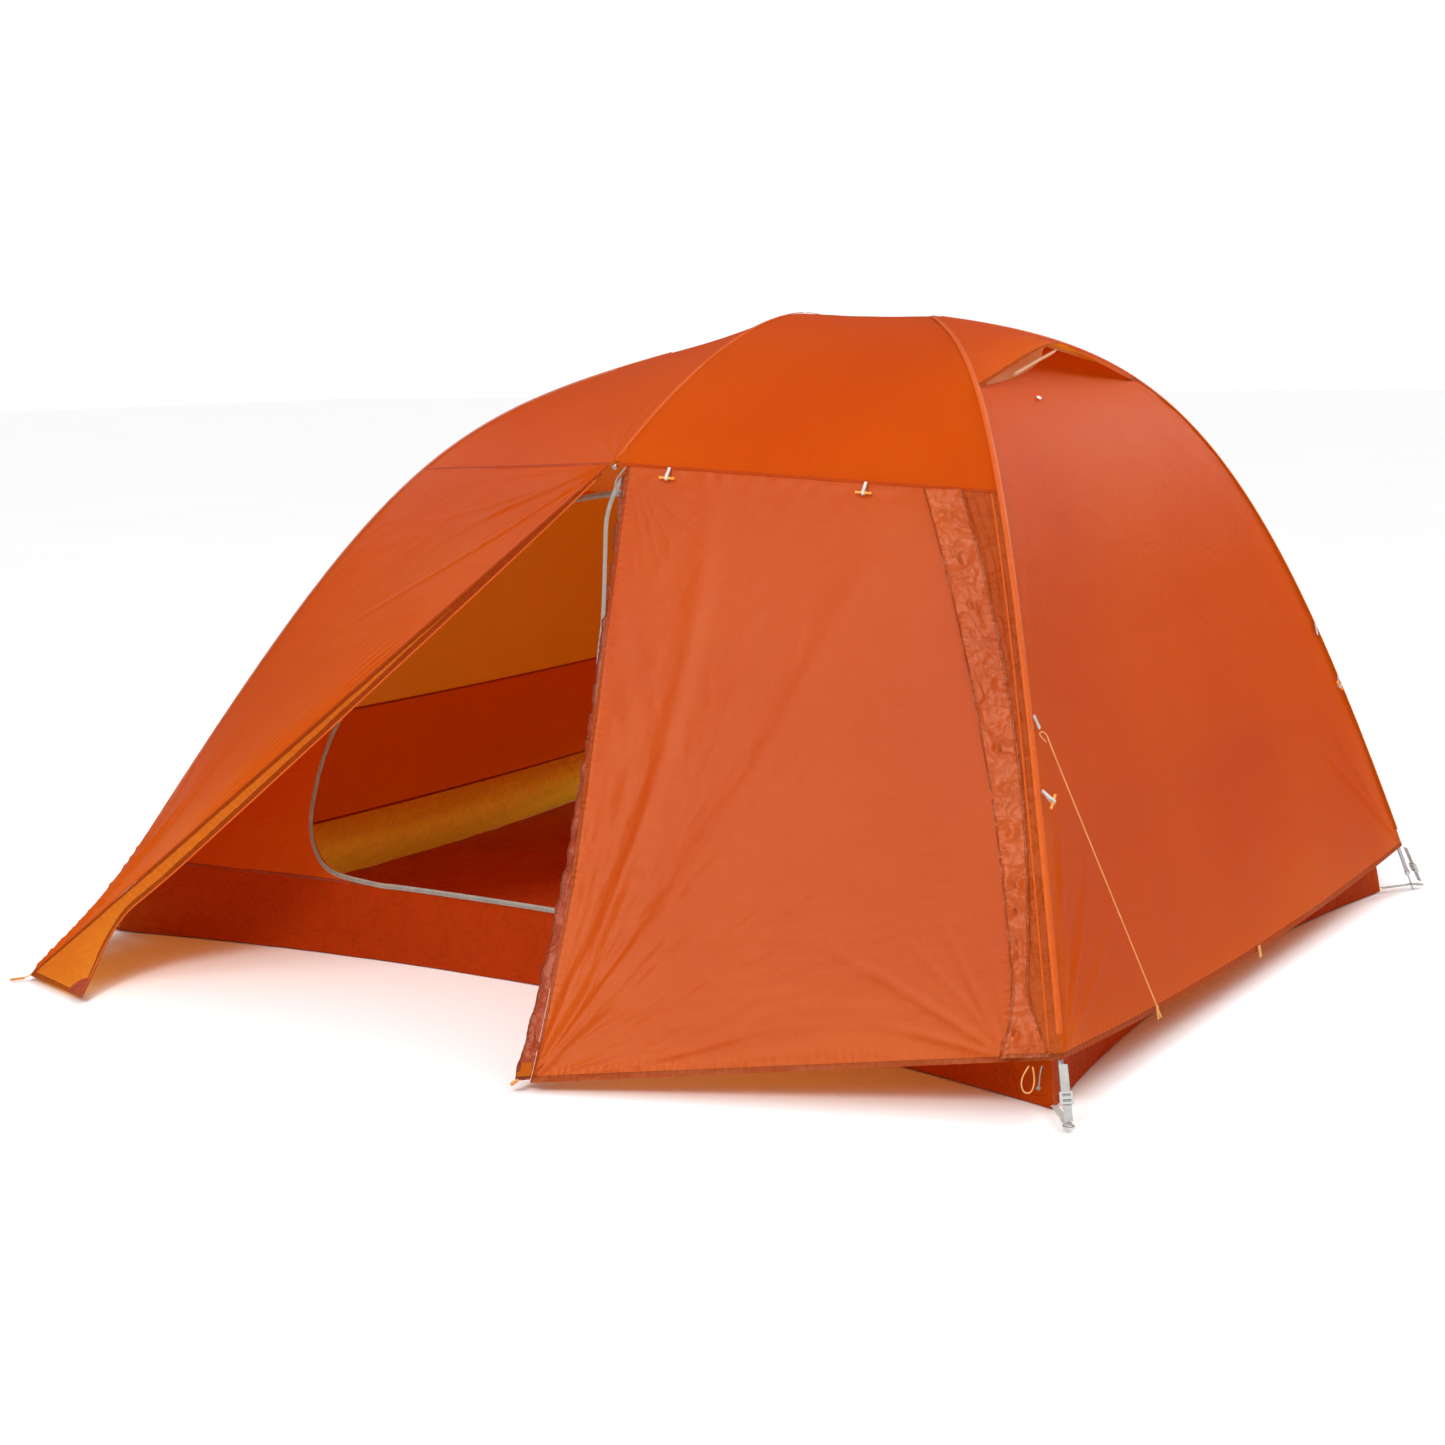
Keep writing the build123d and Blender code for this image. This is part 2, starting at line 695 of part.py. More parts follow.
with BuildPart() as corner_straps:
    for side, face in NAMES:
        tip, out, high, low = corner_frame(side, face)
        across = out.cross(UP)
        add_strap(low, high, WEB_W, WEB_T, across)
        leg_line = leg_controls(side, face, POLE_INSET, TIP_INSET)
        lean = bezier(leg_line, TIP_END_T) - tip
        tab_z = RING_LOW + TAB_OVER
        hole_x = lean.dot(out) * (tab_z + WEB_T / 2) / lean.Z - TAB_OUT
        with BuildSketch(Plane(origin=tip + out * TAB_OUT + UP * tab_z, x_dir=out, z_dir=UP)):
            RectangleRounded(TAB_LENGTH, WEB_W, 2)
            with Locations((hole_x, 0)):
                Circle(TAB_HOLE, mode=Mode.SUBTRACT)
        extrude(amount=WEB_T)
save(corner_straps, "corner_straps")

with BuildPart() as corner_rings:
    for side, face in NAMES:
        tip, out, high, low = corner_frame(side, face)
        with BuildSketch(Plane(origin=tip + out * RING_OUT + UP * RING_LOW, z_dir=UP)):
            Circle(RING_R + 3)
            Circle(RING_R, mode=Mode.SUBTRACT)
        extrude(amount=RING_T)
save(corner_rings, "corner_rings")

with BuildPart() as floor_straps:
    for side, face in NAMES:
        tip, out, high, low = corner_frame(side, face)
        start = inner_corner(side, face, 9) + out * 5 + UP * 2
        end = tip - out * 17 + UP * (RING_LOW + 4)
        add_strap(start, end, 12, WEB_T, out.cross(UP))
save(floor_straps, "floor_straps")

for (side, face), name in NAMES.items():
    tip, out, high, low = corner_frame(side, face)
    run = (high - low).normalized()
    across = out.cross(UP)
    seat = low + (high - low) * BUCKLE_RISE
    with BuildPart() as buckle:
        with BuildSketch(Plane(origin=seat, x_dir=across, z_dir=run)):
            RectangleRounded(WEB_W + 8, 8, 2)
            Rectangle(WEB_W + 1.2, WEB_T + 1.2, mode=Mode.SUBTRACT)
        extrude(amount=BUCKLE_H)
        with BuildSketch(Plane(origin=seat + run * BUCKLE_H / 2, x_dir=across, z_dir=run.cross(across))):
            for rise in (-5, 5):
                with Locations((0, rise)):
                    Rectangle(WEB_W - 1, 5)
        extrude(amount=8, both=True, mode=Mode.SUBTRACT)
    save(buckle, f"corner_buckle_{name}")

# ---------------------------------------------------------------- guy-out tabs and hem loops
GUY_Z = {1: 690, -1: 650}
with BuildPart() as guy_tabs:
    for side, face in NAMES:
        at = leg_at(side, face, GUY_Z[side])
        start = at + Vector(side * 5, -face * 8, 2)
        add_strap(start, start + Vector(side * 9, -face * 7, -26), 8, 1.4, (0, 1, 0))
save(guy_tabs, "guy_tabs")

with BuildPart() as hem_loops:
    for side in (1, -1):
        edge = end_skin(side, VENT_Z)(0.5, 0)
        add_strap(edge + Vector(side * 3, 0, 10), edge + Vector(side * 8, 0, -16), 12, 1.4, (0, 1, 0))
    add_strap(Vector(1290.5, -560, 106), Vector(1294, -560, 80), 8, 1.4, (0, 1, 0))
    loop_base = FLAP_CORNER + Vector(-16, -15, -4)
    with BuildSketch(Plane(origin=loop_base, x_dir=(0.72, 0.69, 0.05), z_dir=(0, -0.1, 1))):
        SlotOverall(34, 12)
        SlotOverall(29, 7, mode=Mode.SUBTRACT)
    extrude(amount=2.4)
save(hem_loops, "hem_loops")

# ---------------------------------------------------------------- tie-back toggles
TOGGLE_BAR = 32


def toggle(label, at, hang, across, loop=22):
    """A webbing loop with a waisted bar across its end."""
    with BuildPart() as piece:
        add_strap(at, at + hang * loop, 6, 1.6, across)
        with BuildSketch(Plane(origin=at + hang * (loop + 2), x_dir=across, z_dir=hang.cross(across))):
            with BuildLine():
                half = TOGGLE_BAR / 2
                top = Spline((-half, 2.4), (-half / 2, 1.9), (0, 3.4), (half / 2, 1.9), (half, 2.4))
                Line(top @ 1, (half, 0))
                Line((half, 0), (-half, 0))
                Line((-half, 0), top @ 0)
            make_face()
        revolve(axis=Axis(at + hang * (loop + 2), across))
    save(piece, label)


seam_dir = (hinge_end - BROW_TIP).normalized()
hang_dir = Vector(0.08, -0.52, -0.85).normalized()
hang_dir = (hang_dir - seam_dir * hang_dir.dot(seam_dir)).normalized()
stand_off = hang_dir.cross(seam_dir).normalized()
if stand_off.Y > 0:
    stand_off = stand_off * -1
for label, place in (("toggle_brow_left", 0.157), ("toggle_brow_right", 0.67)):
    start = front_skin(place, 0.992) + stand_off * 8
    toggle(label, start, hang_dir, seam_dir)
TOGGLE_Z = {1: 562, -1: 515}
for (side, face), name in NAMES.items():
    at = leg_at(side, face, TOGGLE_Z[side])
    start = at + Vector(side * 7, -face * 8, 0)
    down = Vector(side * 0.35, -face * 0.62, -0.70).normalized()
    wide = down.cross(Vector(side, 0, 0.2)).normalized()
    toggle(f"toggle_side_{name}", start, down, wide)

# ---------------------------------------------------------------- cords
GUY_ROUTE = [
    (1140.5, -742.0, 640.0),
    (1134.0, -750.5, 650.5),
    (1133.5, -756.0, 658.5),
    (1137.0, -749.0, 661.0),
    (1143.0, -742.0, 653.0),
    (1145.0, -738.0, 638.0),
    (1300.0, -560.0, 84.0),
]
BUNGEE_ROUTE = [
    (1238.0, -1004.0, 104.0),
    (1229.0, -1009.0, 88.0),
    (1226.5, -1012.0, 70.0),
    (1233.0, -1012.0, 55.0),
    (1245.0, -1007.0, 57.0),
    (1249.0, -1003.0, 74.0),
    (1247.0, -1001.0, 90.0),
    (1244.0, -1001.0, 103.0),
]
PULL_ROUTE = [
    (1260.0, -996.0, 106.0),
    (1257.0, -999.0, 92.0),
    (1258.0, -1001.0, 78.0),
    (1256.0, -1002.0, 66.0),
]
TIE_ROUTE = [
    (187.0, -755.0, 1137.0),
    (185.0, -767.0, 1126.0),
    (181.0, -778.0, 1115.0),
    (183.0, -787.0, 1104.0),
    (190.0, -792.0, 1095.0),
    (198.0, -794.0, 1090.0),
]


def cord(label, route, radius, knot=0.0, barrel=0.0):
    """A cord as straight runs joined by tangent arcs, with a knot or barrel at one end."""
    points = [Vector(*p) for p in route]
    radii = []
    for a, b, c in zip(points, points[1:], points[2:]):
        turn = (b - a).get_angle(c - b)
        shorter = min((b - a).length, (c - b).length)
        radii.append(0.45 * shorter / tan(radians(turn) / 2))
    with BuildPart() as line:
        with BuildLine() as run:
            FilletPolyline(*points, radius=radii)
        with BuildSketch(Plane(origin=run.line @ 0, z_dir=run.line % 0)) as section:
            Circle(radius)
        sweep(section.sketch, path=run.line)
        if knot:
            with Locations(run.line @ 1):
                Sphere(knot)
                Torus(knot * 0.75, knot * 0.42)
        if barrel:
            first = run.line % 0
            with BuildSketch(Plane(origin=points[0] + first * 4, z_dir=first)) as sleeve:
                Circle(barrel)
            extrude(sleeve.sketch, amount=11)
    save(line, label)


cord("guyline", GUY_ROUTE, GUY_R)
cord("hem_bungee", BUNGEE_ROUTE, 1.4, barrel=3.4)
cord("zip_pull_cord", PULL_ROUTE, 1.2, knot=4)
cord("brow_tie", TIE_ROUTE, 1.8, knot=4.6)
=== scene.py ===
"""The looks of a free-standing dome tent on hubbed poles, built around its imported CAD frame."""

import math

import bpy
import numpy as np
from mathutils import Matrix, Vector
from mathutils.geometry import delaunay_2d_cdt


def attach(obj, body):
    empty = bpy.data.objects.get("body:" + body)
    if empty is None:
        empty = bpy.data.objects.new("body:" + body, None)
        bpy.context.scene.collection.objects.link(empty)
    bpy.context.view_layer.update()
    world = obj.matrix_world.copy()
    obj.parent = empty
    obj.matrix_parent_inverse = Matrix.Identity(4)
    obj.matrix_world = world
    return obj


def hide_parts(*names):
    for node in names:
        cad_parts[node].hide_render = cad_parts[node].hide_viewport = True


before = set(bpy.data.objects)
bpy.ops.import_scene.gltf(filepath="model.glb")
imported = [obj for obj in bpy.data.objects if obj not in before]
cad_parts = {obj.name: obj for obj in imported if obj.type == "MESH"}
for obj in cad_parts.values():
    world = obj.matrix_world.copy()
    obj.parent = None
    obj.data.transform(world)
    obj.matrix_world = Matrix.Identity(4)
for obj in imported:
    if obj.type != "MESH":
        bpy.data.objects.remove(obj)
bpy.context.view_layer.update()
MM = 0.001
def put(name, data):
    """A new object in the scene."""
    made = bpy.data.objects.new(name, data)
    bpy.context.scene.collection.objects.link(made)
    return made


# ---------------------------------------------------------------- camera
CAMERA_PLACE = (2.8899, -4.3191, 1.3582)
CAMERA_RIGHT = (0.82348, 0.56698, -0.02019)
CAMERA_UP = (-0.07863, 0.14930, 0.98566)
CAMERA_BACK = (0.56187, -0.81008, 0.16753)


def make_camera():
    data = bpy.data.cameras.new("camera")
    data.sensor_width = 36
    data.lens = 53.57
    data.clip_start = 0.05
    data.clip_end = 200
    cam = put("camera", data)
    turn = Matrix((CAMERA_RIGHT, CAMERA_UP, CAMERA_BACK)).transposed()
    cam.matrix_world = Matrix.Translation(CAMERA_PLACE) @ turn.to_4x4()
    bpy.context.scene.camera = cam


make_camera()


# ---------------------------------------------------------------- materials
def add(tree, kind, inputs=None, **settings):
    """A shader node with its settings and input values."""
    made = tree.nodes.new(kind)
    for key, value in settings.items():
        setattr(made, key, value)
    for key, value in (inputs or {}).items():
        made.inputs[key].default_value = value
    return made


def maths(tree, operation, first, second=None):
    """A maths node on one or two values or sockets."""
    made = add(tree, "ShaderNodeMath", operation=operation)
    for place, value in enumerate((first, second)):
        if value is None:
            continue
        if isinstance(value, (int, float)):
            made.inputs[place].default_value = value
        else:
            tree.links.new(value, made.inputs[place])
    return made.outputs[0]


def times(tree, first, second):
    return maths(tree, "MULTIPLY", first, second)


def plus(tree, first, second):
    return maths(tree, "ADD", first, second)


def minus(tree, first, second):
    return maths(tree, "SUBTRACT", first, second)


def size_of(tree, value):
    return maths(tree, "ABSOLUTE", value)


def waves(tree, value, per_metre):
    """A sine over a length, with so many waves to the metre."""
    return maths(tree, "SINE", times(tree, value, 2 * math.pi * per_metre))


def parts_of(tree, vector):
    """The three parts of a vector."""
    made = add(tree, "ShaderNodeSeparateXYZ")
    tree.links.new(vector, made.inputs[0])
    return made.outputs[0], made.outputs[1], made.outputs[2]


def object_place(tree):
    return add(tree, "ShaderNodeTexCoord").outputs["Object"]


def darker(colour, share):
    return tuple(c * share for c in colour)


def paler(colour, share, more):
    return tuple(min(1.0, c * share + more) for c in colour)


def noise(tree, where, scale, detail=3.0, rough=0.5, distortion=0.0):
    made = add(tree, "ShaderNodeTexNoise",
               {"Scale": scale, "Detail": detail, "Roughness": rough, "Distortion": distortion})
    tree.links.new(where, made.inputs["Vector"])
    return made.outputs["Fac"]


def blend_colours(tree, share, low, high):
    """A colour between two, by a share from 0 to 1."""
    made = add(tree, "ShaderNodeMix", data_type="RGBA")
    tree.links.new(share, made.inputs["Factor"])
    for place, value in ((6, low), (7, high)):
        if isinstance(value, tuple):
            made.inputs[place].default_value = (*value, 1)
        else:
            tree.links.new(value, made.inputs[place])
    return made.outputs[2]


def spread(tree, value, low, high):
    """Maps low..high of a value to 0..1, kept in that range."""
    made = add(tree, "ShaderNodeMapRange", {"From Min": low, "From Max": high}, clamp=True)
    tree.links.new(value, made.inputs["Value"])
    return made.outputs[0]


def new_material(name):
    made = bpy.data.materials.new(name)
    made.use_nodes = True
    made.node_tree.nodes.clear()
    return made, made.node_tree


def finish_material(tree, colour, rough, height, distance, strength=1.0, glow=None, through=0.0, **constants):
    """The closing nodes of a material: one surface, and light passing through where glow is given."""
    bump = add(tree, "ShaderNodeBump", {"Strength": strength, "Distance": distance})
    tree.links.new(height, bump.inputs["Height"])
    body = add(tree, "ShaderNodeBsdfPrincipled")
    for key, value in constants.items():
        body.inputs[key.replace("_", " ")].default_value = value
    tree.links.new(colour, body.inputs["Base Color"])
    tree.links.new(rough, body.inputs["Roughness"])
    tree.links.new(bump.outputs[0], body.inputs["Normal"])
    last = body.outputs[0]
    if glow is not None:
        passing = add(tree, "ShaderNodeBsdfTranslucent")
        tree.links.new(glow, passing.inputs["Color"])
        tree.links.new(bump.outputs[0], passing.inputs["Normal"])
        both = add(tree, "ShaderNodeMixShader", {"Fac": through})
        tree.links.new(last, both.inputs[1])
        tree.links.new(passing.outputs[0], both.inputs[2])
        last = both.outputs[0]
    out = add(tree, "ShaderNodeOutputMaterial")
    tree.links.new(last, out.inputs["Surface"])


THREADS = 1400  # threads to the metre, each way
RIP_SHARE = 0.13  # how much of a ripstop square its thicker thread takes
STITCH = 3.4  # mm from one stitch of a hem to the next
STITCH_SHARE = 0.64  # how much of that is thread
ROW, ROW_HALF = 0.84, 0.05  # where a hem's stitches run and half their width, in hem widths
PUCKER = 0.016  # metres from one pucker of a hem to the next
SHEEN_TINT = (1.0, 0.72, 0.6, 1)
GLOSS_TINT = (1.0, 0.8, 0.62, 1)


def cloth_material(name, colour, shade, glow, through=0.3, rough=0.4, weave=5.5, crinkle=0.5, scale=9.0,
                   shine=0.1, double_hem_shade=None):
    """Coated ripstop: a fine square grid, crumple creases, deeper patches, and stitched two-layer hems, their
    colour painted darker as shade.
    """
    made, tree = new_material(name)
    place = object_place(tree)
    lay = parts_of(tree, add(tree, "ShaderNodeUVMap", uv_map="cloth").outputs[0])
    away, along, _ = parts_of(tree, add(tree, "ShaderNodeUVMap", uv_map="hem").outputs[0])
    band = minus(tree, 1.0, spread(tree, away, 0.94, 1.0))
    row = maths(tree, "LESS_THAN", size_of(tree, minus(tree, away, ROW)), ROW_HALF)
    step = maths(tree, "FRACT", times(tree, along, 1000 / STITCH))
    stitch = times(tree, row, maths(tree, "LESS_THAN", step, STITCH_SHARE))
    near = minus(tree, 1.0, spread(tree, size_of(tree, minus(tree, away, 0.9)), 0.0, 2.6))
    wander = times(tree, noise(tree, place, 14, 2), 14.0)
    pulls = maths(tree, "SINE", plus(tree, times(tree, along, 2 * math.pi / PUCKER), wander))
    lines = []
    for way in lay[:2]:
        step = maths(tree, "FRACT", times(tree, way, 1000 / weave))
        lines.append(maths(tree, "LESS_THAN", step, RIP_SHARE))
    grid = maths(tree, "MAXIMUM", *lines)
    thread = times(tree, waves(tree, lay[0], THREADS), waves(tree, lay[1], THREADS))
    broad = noise(tree, place, 1.7, 3)
    fine = noise(tree, place, scale, 5, 0.55, 0.8)
    ridge = times(tree, size_of(tree, minus(tree, fine, 0.5)), 6.0)
    ridge = maths(tree, "POWER", spread(tree, minus(tree, 1.0, ridge), 0.0, 1.0), 3.0)
    small = noise(tree, place, scale * 5, 3, 0.5, 1.2)
    gathers = times(tree, pulls, near)
    height = times(tree, ridge, crinkle)
    for part, share in ((small, crinkle * 0.35), (grid, 0.06), (thread, 0.015), (band, 0.2), (gathers, 0.22),
                        (stitch, -0.15)):
        height = plus(tree, height, times(tree, part, share))
    mixed = blend_colours(tree, spread(tree, broad, 0.35, 0.7), colour, shade)
    # the hem band is a real doubled hem, its colour painted darker as shade
    for part, share, other in (
        (grid, 0.3, paler(colour, 1.12, 0.01)),
        (band, 0.85 if double_hem_shade else 0.6, double_hem_shade or darker(shade, 0.62)),
        (stitch, 0.7, darker(shade, 0.5)),
    ):
        mixed = blend_colours(tree, times(tree, part, share), mixed, other)
    roughness = plus(tree, times(tree, broad, 0.12), rough - 0.06)
    dimmed = blend_colours(tree, times(tree, band, 0.9), glow, darker(glow, 0.3))
    finish_material(
        tree, mixed, roughness, height, 0.0028, 0.9, dimmed, through, Sheen_Weight=0.015, Sheen_Roughness=0.45,
        Sheen_Tint=SHEEN_TINT, Specular_IOR_Level=shine, Specular_Tint=GLOSS_TINT,
    )
    return made


def ribbed_material(name, colour, rough=0.65, pitch=1.4, along=2):
    """Webbing and cord: fine ribs and a little uneven colour."""
    made, tree = new_material(name)
    place = object_place(tree)
    x, y, z = parts_of(tree, place)
    total = plus(tree, plus(tree, x, y), times(tree, z, float(along)))
    ribs = waves(tree, total, 1000 / pitch)
    threads = waves(tree, minus(tree, x, y), 1000 / (pitch * 0.6))
    height = plus(tree, times(tree, ribs, 0.5), times(tree, threads, 0.25))
    patch = noise(tree, place, 60, 3)
    mixed = blend_colours(tree, spread(tree, patch, 0.3, 0.75), colour, darker(colour, 0.72))
    roughness = plus(tree, times(tree, patch, 0.1), rough)
    finish_material(tree, mixed, roughness, height, 0.0003, 0.6, Sheen_Weight=0.15)
    return made


def moulded_material(name, colour, rough=0.42):
    """Moulded plastic: fine grain, slight scuffs."""
    made, tree = new_material(name)
    place = object_place(tree)
    scuff = noise(tree, place, 55, 5, 0.65, 0.3)
    fine = noise(tree, place, 900.0, 2)
    worn = times(tree, spread(tree, scuff, 0.52, 0.72), 0.36)
    mixed = blend_colours(tree, worn, colour, paler(colour, 1.25, 0.04))
    roughness = plus(tree, times(tree, scuff, 0.18), rough - 0.09)
    finish_material(tree, mixed, roughness, fine, 0.00008, 0.5)
    return made


def drawn_metal(name, colour, rough=0.3):
    """Anodised tube: fine drawn lines along a shifting grain, faint banding."""
    made, tree = new_material(name)
    place = object_place(tree)
    bands = noise(tree, place, 14, 4, 0.6)
    grain = noise(tree, place, 700, 2)
    mixed = blend_colours(tree, bands, colour, darker(colour, 0.8))
    roughness = plus(tree, times(tree, bands, 0.15), rough - 0.05)
    finish_material(tree, mixed, roughness, grain, 0.00006, 0.5, Metallic=1.0)
    return made


FLY = (0.60, 0.090, 0.0005)
FLY_DEEP = (0.53, 0.066, 0.0005)
FLY_GLOW = (1.0, 0.30, 0.004)
STORM_GLOW = (0.9, 0.24, 0.01)
# each cloth: its colour, deeper patches and the light through it, how much passes, how rough it is
CLOTHS = {
    "fly": (FLY, FLY_DEEP, FLY_GLOW, 0.40, 0.40, dict(crinkle=0.25, scale=6.0, shine=0.08)),
    # fly_front: the fly's own cloth, its colour darkened by about an eighth as painted shade
    "fly_front": ((0.52, 0.075, 0.0005), (0.47, 0.056, 0.0005), FLY_GLOW, 0.34, 0.33,
                  dict(crinkle=0.14, shine=0.45)),
    "fly_storm": ((0.60, 0.100, 0.004), (0.50, 0.066, 0.003), STORM_GLOW, 0.3, 0.27,
                  dict(scale=22.0, shine=0.8)),
    # fly_strip: the fly's cloth painted darker and browner as the shade of the inner tent behind it
    "fly_strip": ((0.44, 0.075, 0.003), (0.34, 0.045, 0.002), (0.95, 0.30, 0.02), 0.3, 0.38,
                  dict(crinkle=0.8, scale=18.0, shine=0.3)),
    # fly_double_shaded: doubled fly cloth, its colour painted much darker as shade
    "fly_double_shaded": ((0.36, 0.036, 0.002), (0.20, 0.018, 0.002), (0.75, 0.14, 0.01), 0.25, 0.29,
                   dict(crinkle=0.7, scale=22.0, shine=0.8)),
    # fly_band: the fly's cloth painted paler and pinker as the highlight along rounded sleeves and edges
    "fly_band": ((0.66, 0.11, 0.008), (0.58, 0.085, 0.005), (1.0, 0.34, 0.03), 0.2, 0.40,
                 dict(crinkle=0.3, scale=30.0, shine=0.3)),
    "fly_seam": ((0.46, 0.055, 0.002), (0.40, 0.042, 0.002), STORM_GLOW, 0.2, 0.42,
                 dict(crinkle=0.4, scale=40.0)),
    # fly_lit: painted through-light, with its hem band painted dark red as shade
    "fly_lit": ((0.66, 0.17, 0.010), (0.58, 0.12, 0.008), (1.0, 0.46, 0.05), 0.5, 0.42,
                dict(crinkle=0.6, scale=18.0, double_hem_shade=(0.34, 0.03, 0.002))),
    "inner_wall": ((0.68, 0.12, 0.004), (0.60, 0.09, 0.003), (1.0, 0.30, 0.02), 0.42, 0.5, {}),
    "gable": ((0.94, 0.52, 0.13), (0.88, 0.46, 0.10), (1.0, 0.74, 0.24), 0.60, 0.55,
              dict(weave=3.0, crinkle=0.25, scale=6.0)),
    "tub": ((0.42, 0.048, 0.002), (0.36, 0.036, 0.002), (1.0, 0.42, 0.02), 0.55, 0.42,
            dict(crinkle=1.0, scale=16.0)),
    "floor": ((0.60, 0.075, 0.004), (0.50, 0.055, 0.003), (0.8, 0.2, 0.02), 0.10, 0.42,
              dict(crinkle=1.2, scale=14.0)),
    "mesh": ((0.86, 0.52, 0.30), (0.80, 0.46, 0.26), (1.0, 0.72, 0.45), 0.5, 0.7,
             dict(weave=1.6, crinkle=0.1, scale=20.0)),
}
# the other finishes: how each is made, its colour, its roughness, and the pitch and slant of its ribs
FINISHES = {
    "zip": (ribbed_material, (0.30, 0.28, 0.24), 0.6, 2.2),
    "zip_grey": (ribbed_material, (0.33, 0.32, 0.28), 0.55, 2.2),
    "webbing": (ribbed_material, (0.50, 0.50, 0.48), 0.6, 1.5),
    "tab": (ribbed_material, (0.78, 0.30, 0.035), 0.55, 1.5),
    "loop_white": (ribbed_material, (0.74, 0.73, 0.69), 0.6, 1.4),
    "cord_orange": (ribbed_material, (0.90, 0.42, 0.10), 0.6, 1.6, 3),
    "cord_grey": (ribbed_material, (0.27, 0.27, 0.25), 0.65, 1.6, 3),
    "buckle": (moulded_material, (0.46, 0.46, 0.45), 0.42),
    "toggle": (moulded_material, (0.90, 0.34, 0.03), 0.35),
    "strut": (moulded_material, (0.86, 0.56, 0.34), 0.38),
    "hub": (moulded_material, (0.05, 0.05, 0.055), 0.45),
    "slider": (moulded_material, (0.10, 0.10, 0.10), 0.4),
    "patch": (moulded_material, (0.88, 0.80, 0.70), 0.5),
    "steel": (drawn_metal, (0.62, 0.62, 0.62), 0.28),
    "pole": (drawn_metal, (0.50, 0.51, 0.53), 0.32),
    "tip": (drawn_metal, (0.58, 0.58, 0.60), 0.25),
}
MATERIALS = {name: cloth_material(name, *facts, **more) for name, (*facts, more) in CLOTHS.items()}
MATERIALS.update({name: make(name, *facts) for name, (make, *facts) in FINISHES.items()})


# ---------------------------------------------------------------- cords
def curve_data(name, kind, radius, resolution, count):
    """A round-bevelled curve of one spline, its points still to be placed."""
    data = bpy.data.curves.new(name, "CURVE")
    data.dimensions = "3D"
    data.bevel_depth = radius
    data.bevel_resolution = resolution
    data.use_fill_caps = True
    line = data.splines.new(kind)
    line.points.add(count - 1)
    return data, line


def cord(name, route, radius, body, node, finish, **facts):
    """A cord on one smooth line through given control points, in metres."""
    data, line = curve_data(name, "NURBS", radius, 4, len(route))
    data.resolution_u = 10
    for place, point in enumerate(route):
        line.points[place].co = (*point, 1)
    line.order_u = 3
    line.use_endpoint_u = True
    data.materials.append(MATERIALS[finish])
    made = put(name, data)
    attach(made, body)
    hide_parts(node)


GUY_ROUTE = [
    (1.1405, -0.7420, 0.6400),
    (1.1340, -0.7505, 0.6505),
    (1.1335, -0.7560, 0.6585),
    (1.1370, -0.7490, 0.6610),
    (1.1430, -0.7420, 0.6530),
    (1.1450, -0.7380, 0.6380),
    (1.3000, -0.5600, 0.0840),
]
BUNGEE_ROUTE = [
    (1.2380, -1.0040, 0.1040),
    (1.2290, -1.0090, 0.0880),
    (1.2265, -1.0120, 0.0700),
    (1.2330, -1.0120, 0.0550),
    (1.2450, -1.0070, 0.0570),
    (1.2490, -1.0030, 0.0740),
    (1.2470, -1.0010, 0.0900),
    (1.2440, -1.0010, 0.1030),
]
PULL_ROUTE = [
    (1.2600, -0.9960, 0.1060),
    (1.2570, -0.9990, 0.0920),
    (1.2580, -1.0010, 0.0780),
    (1.2560, -1.0020, 0.0660),
]
TIE_ROUTE = [
    (0.1870, -0.7550, 1.1370),
    (0.1850, -0.7670, 1.1260),
    (0.1810, -0.7780, 1.1150),
    (0.1830, -0.7870, 1.1040),
    (0.1900, -0.7920, 1.0950),
    (0.1980, -0.7940, 1.0900),
]
cord("guyline_cord", GUY_ROUTE, 0.0013, "tent", "guyline", "cord_orange", length=0.655, far_end="object",
     lay="taut")
cord("hem_cord", BUNGEE_ROUTE, 0.0014, "tent", "hem_bungee", "cord_orange", length=0.108, far_end="object",
     lay="hanging")
cord("pull_cord", PULL_ROUTE, 0.0012, "tent", "zip_pull_cord", "cord_grey", length=0.041, far_end="knot",
     lay="hanging")
cord("tie_cord", TIE_ROUTE, 0.0018, "front_panel", "brow_tie", "cord_grey", length=0.067, far_end="knot",
     lay="hanging")


# ---------------------------------------------------------------- curves, in millimetres
# as in the CAD: side is 1 on the right and -1 on the left, face is -1 in front and 1 behind
def vec(*parts):
    return np.array(parts, float)


def unit(a, least=1e-9):
    """Vectors made one long."""
    return a / np.maximum(np.linalg.norm(a, axis=-1, keepdims=True), least)


def bow_of(u):
    """0 at both edges and 1 midway."""
    return 4 * u * (1 - u)


HUB = {1: vec(488, 0, 1440), -1: vec(-200, 0, 1377)}
LEG = {1: ((0.380, 1206), (0.553, 1364)), -1: ((0.516, 1137), (0.587, 1220))}
TIP = vec(1318, 1010, 0)
CROSS = vec(150, 0, 1456)
BROW = {
    face: np.array([CROSS, vec(150, face * 260, 1452), vec(150, face * 560, 1285),
                    vec(150, face * 745, 1150)])
    for face in (-1, 1)
}
CORNERS = {(1, -1): "front_right", (-1, -1): "front_left", (1, 1): "back_right", (-1, 1): "back_left"}
INNER_INSET = 45
HEM_Z = 116
SEAM_Z = {1: 1094, -1: 1111}
VENT_Z = 1295
TUB_Z = 172
WALL_Z = 490
BROW_IN_Z = 1080
DOOR_CORNER = vec(373, -1350, 20)
FLAP_CORNER = vec(-1085, -1362, 10)
REAR_CORNER = vec(150, 1360, 20)


def cubic(points, t):
    t = np.asarray(t, float)[..., None]
    s = 1 - t
    return points[0] * s**3 + points[1] * 3 * s * s * t + points[2] * 3 * s * t * t + points[3] * t**3


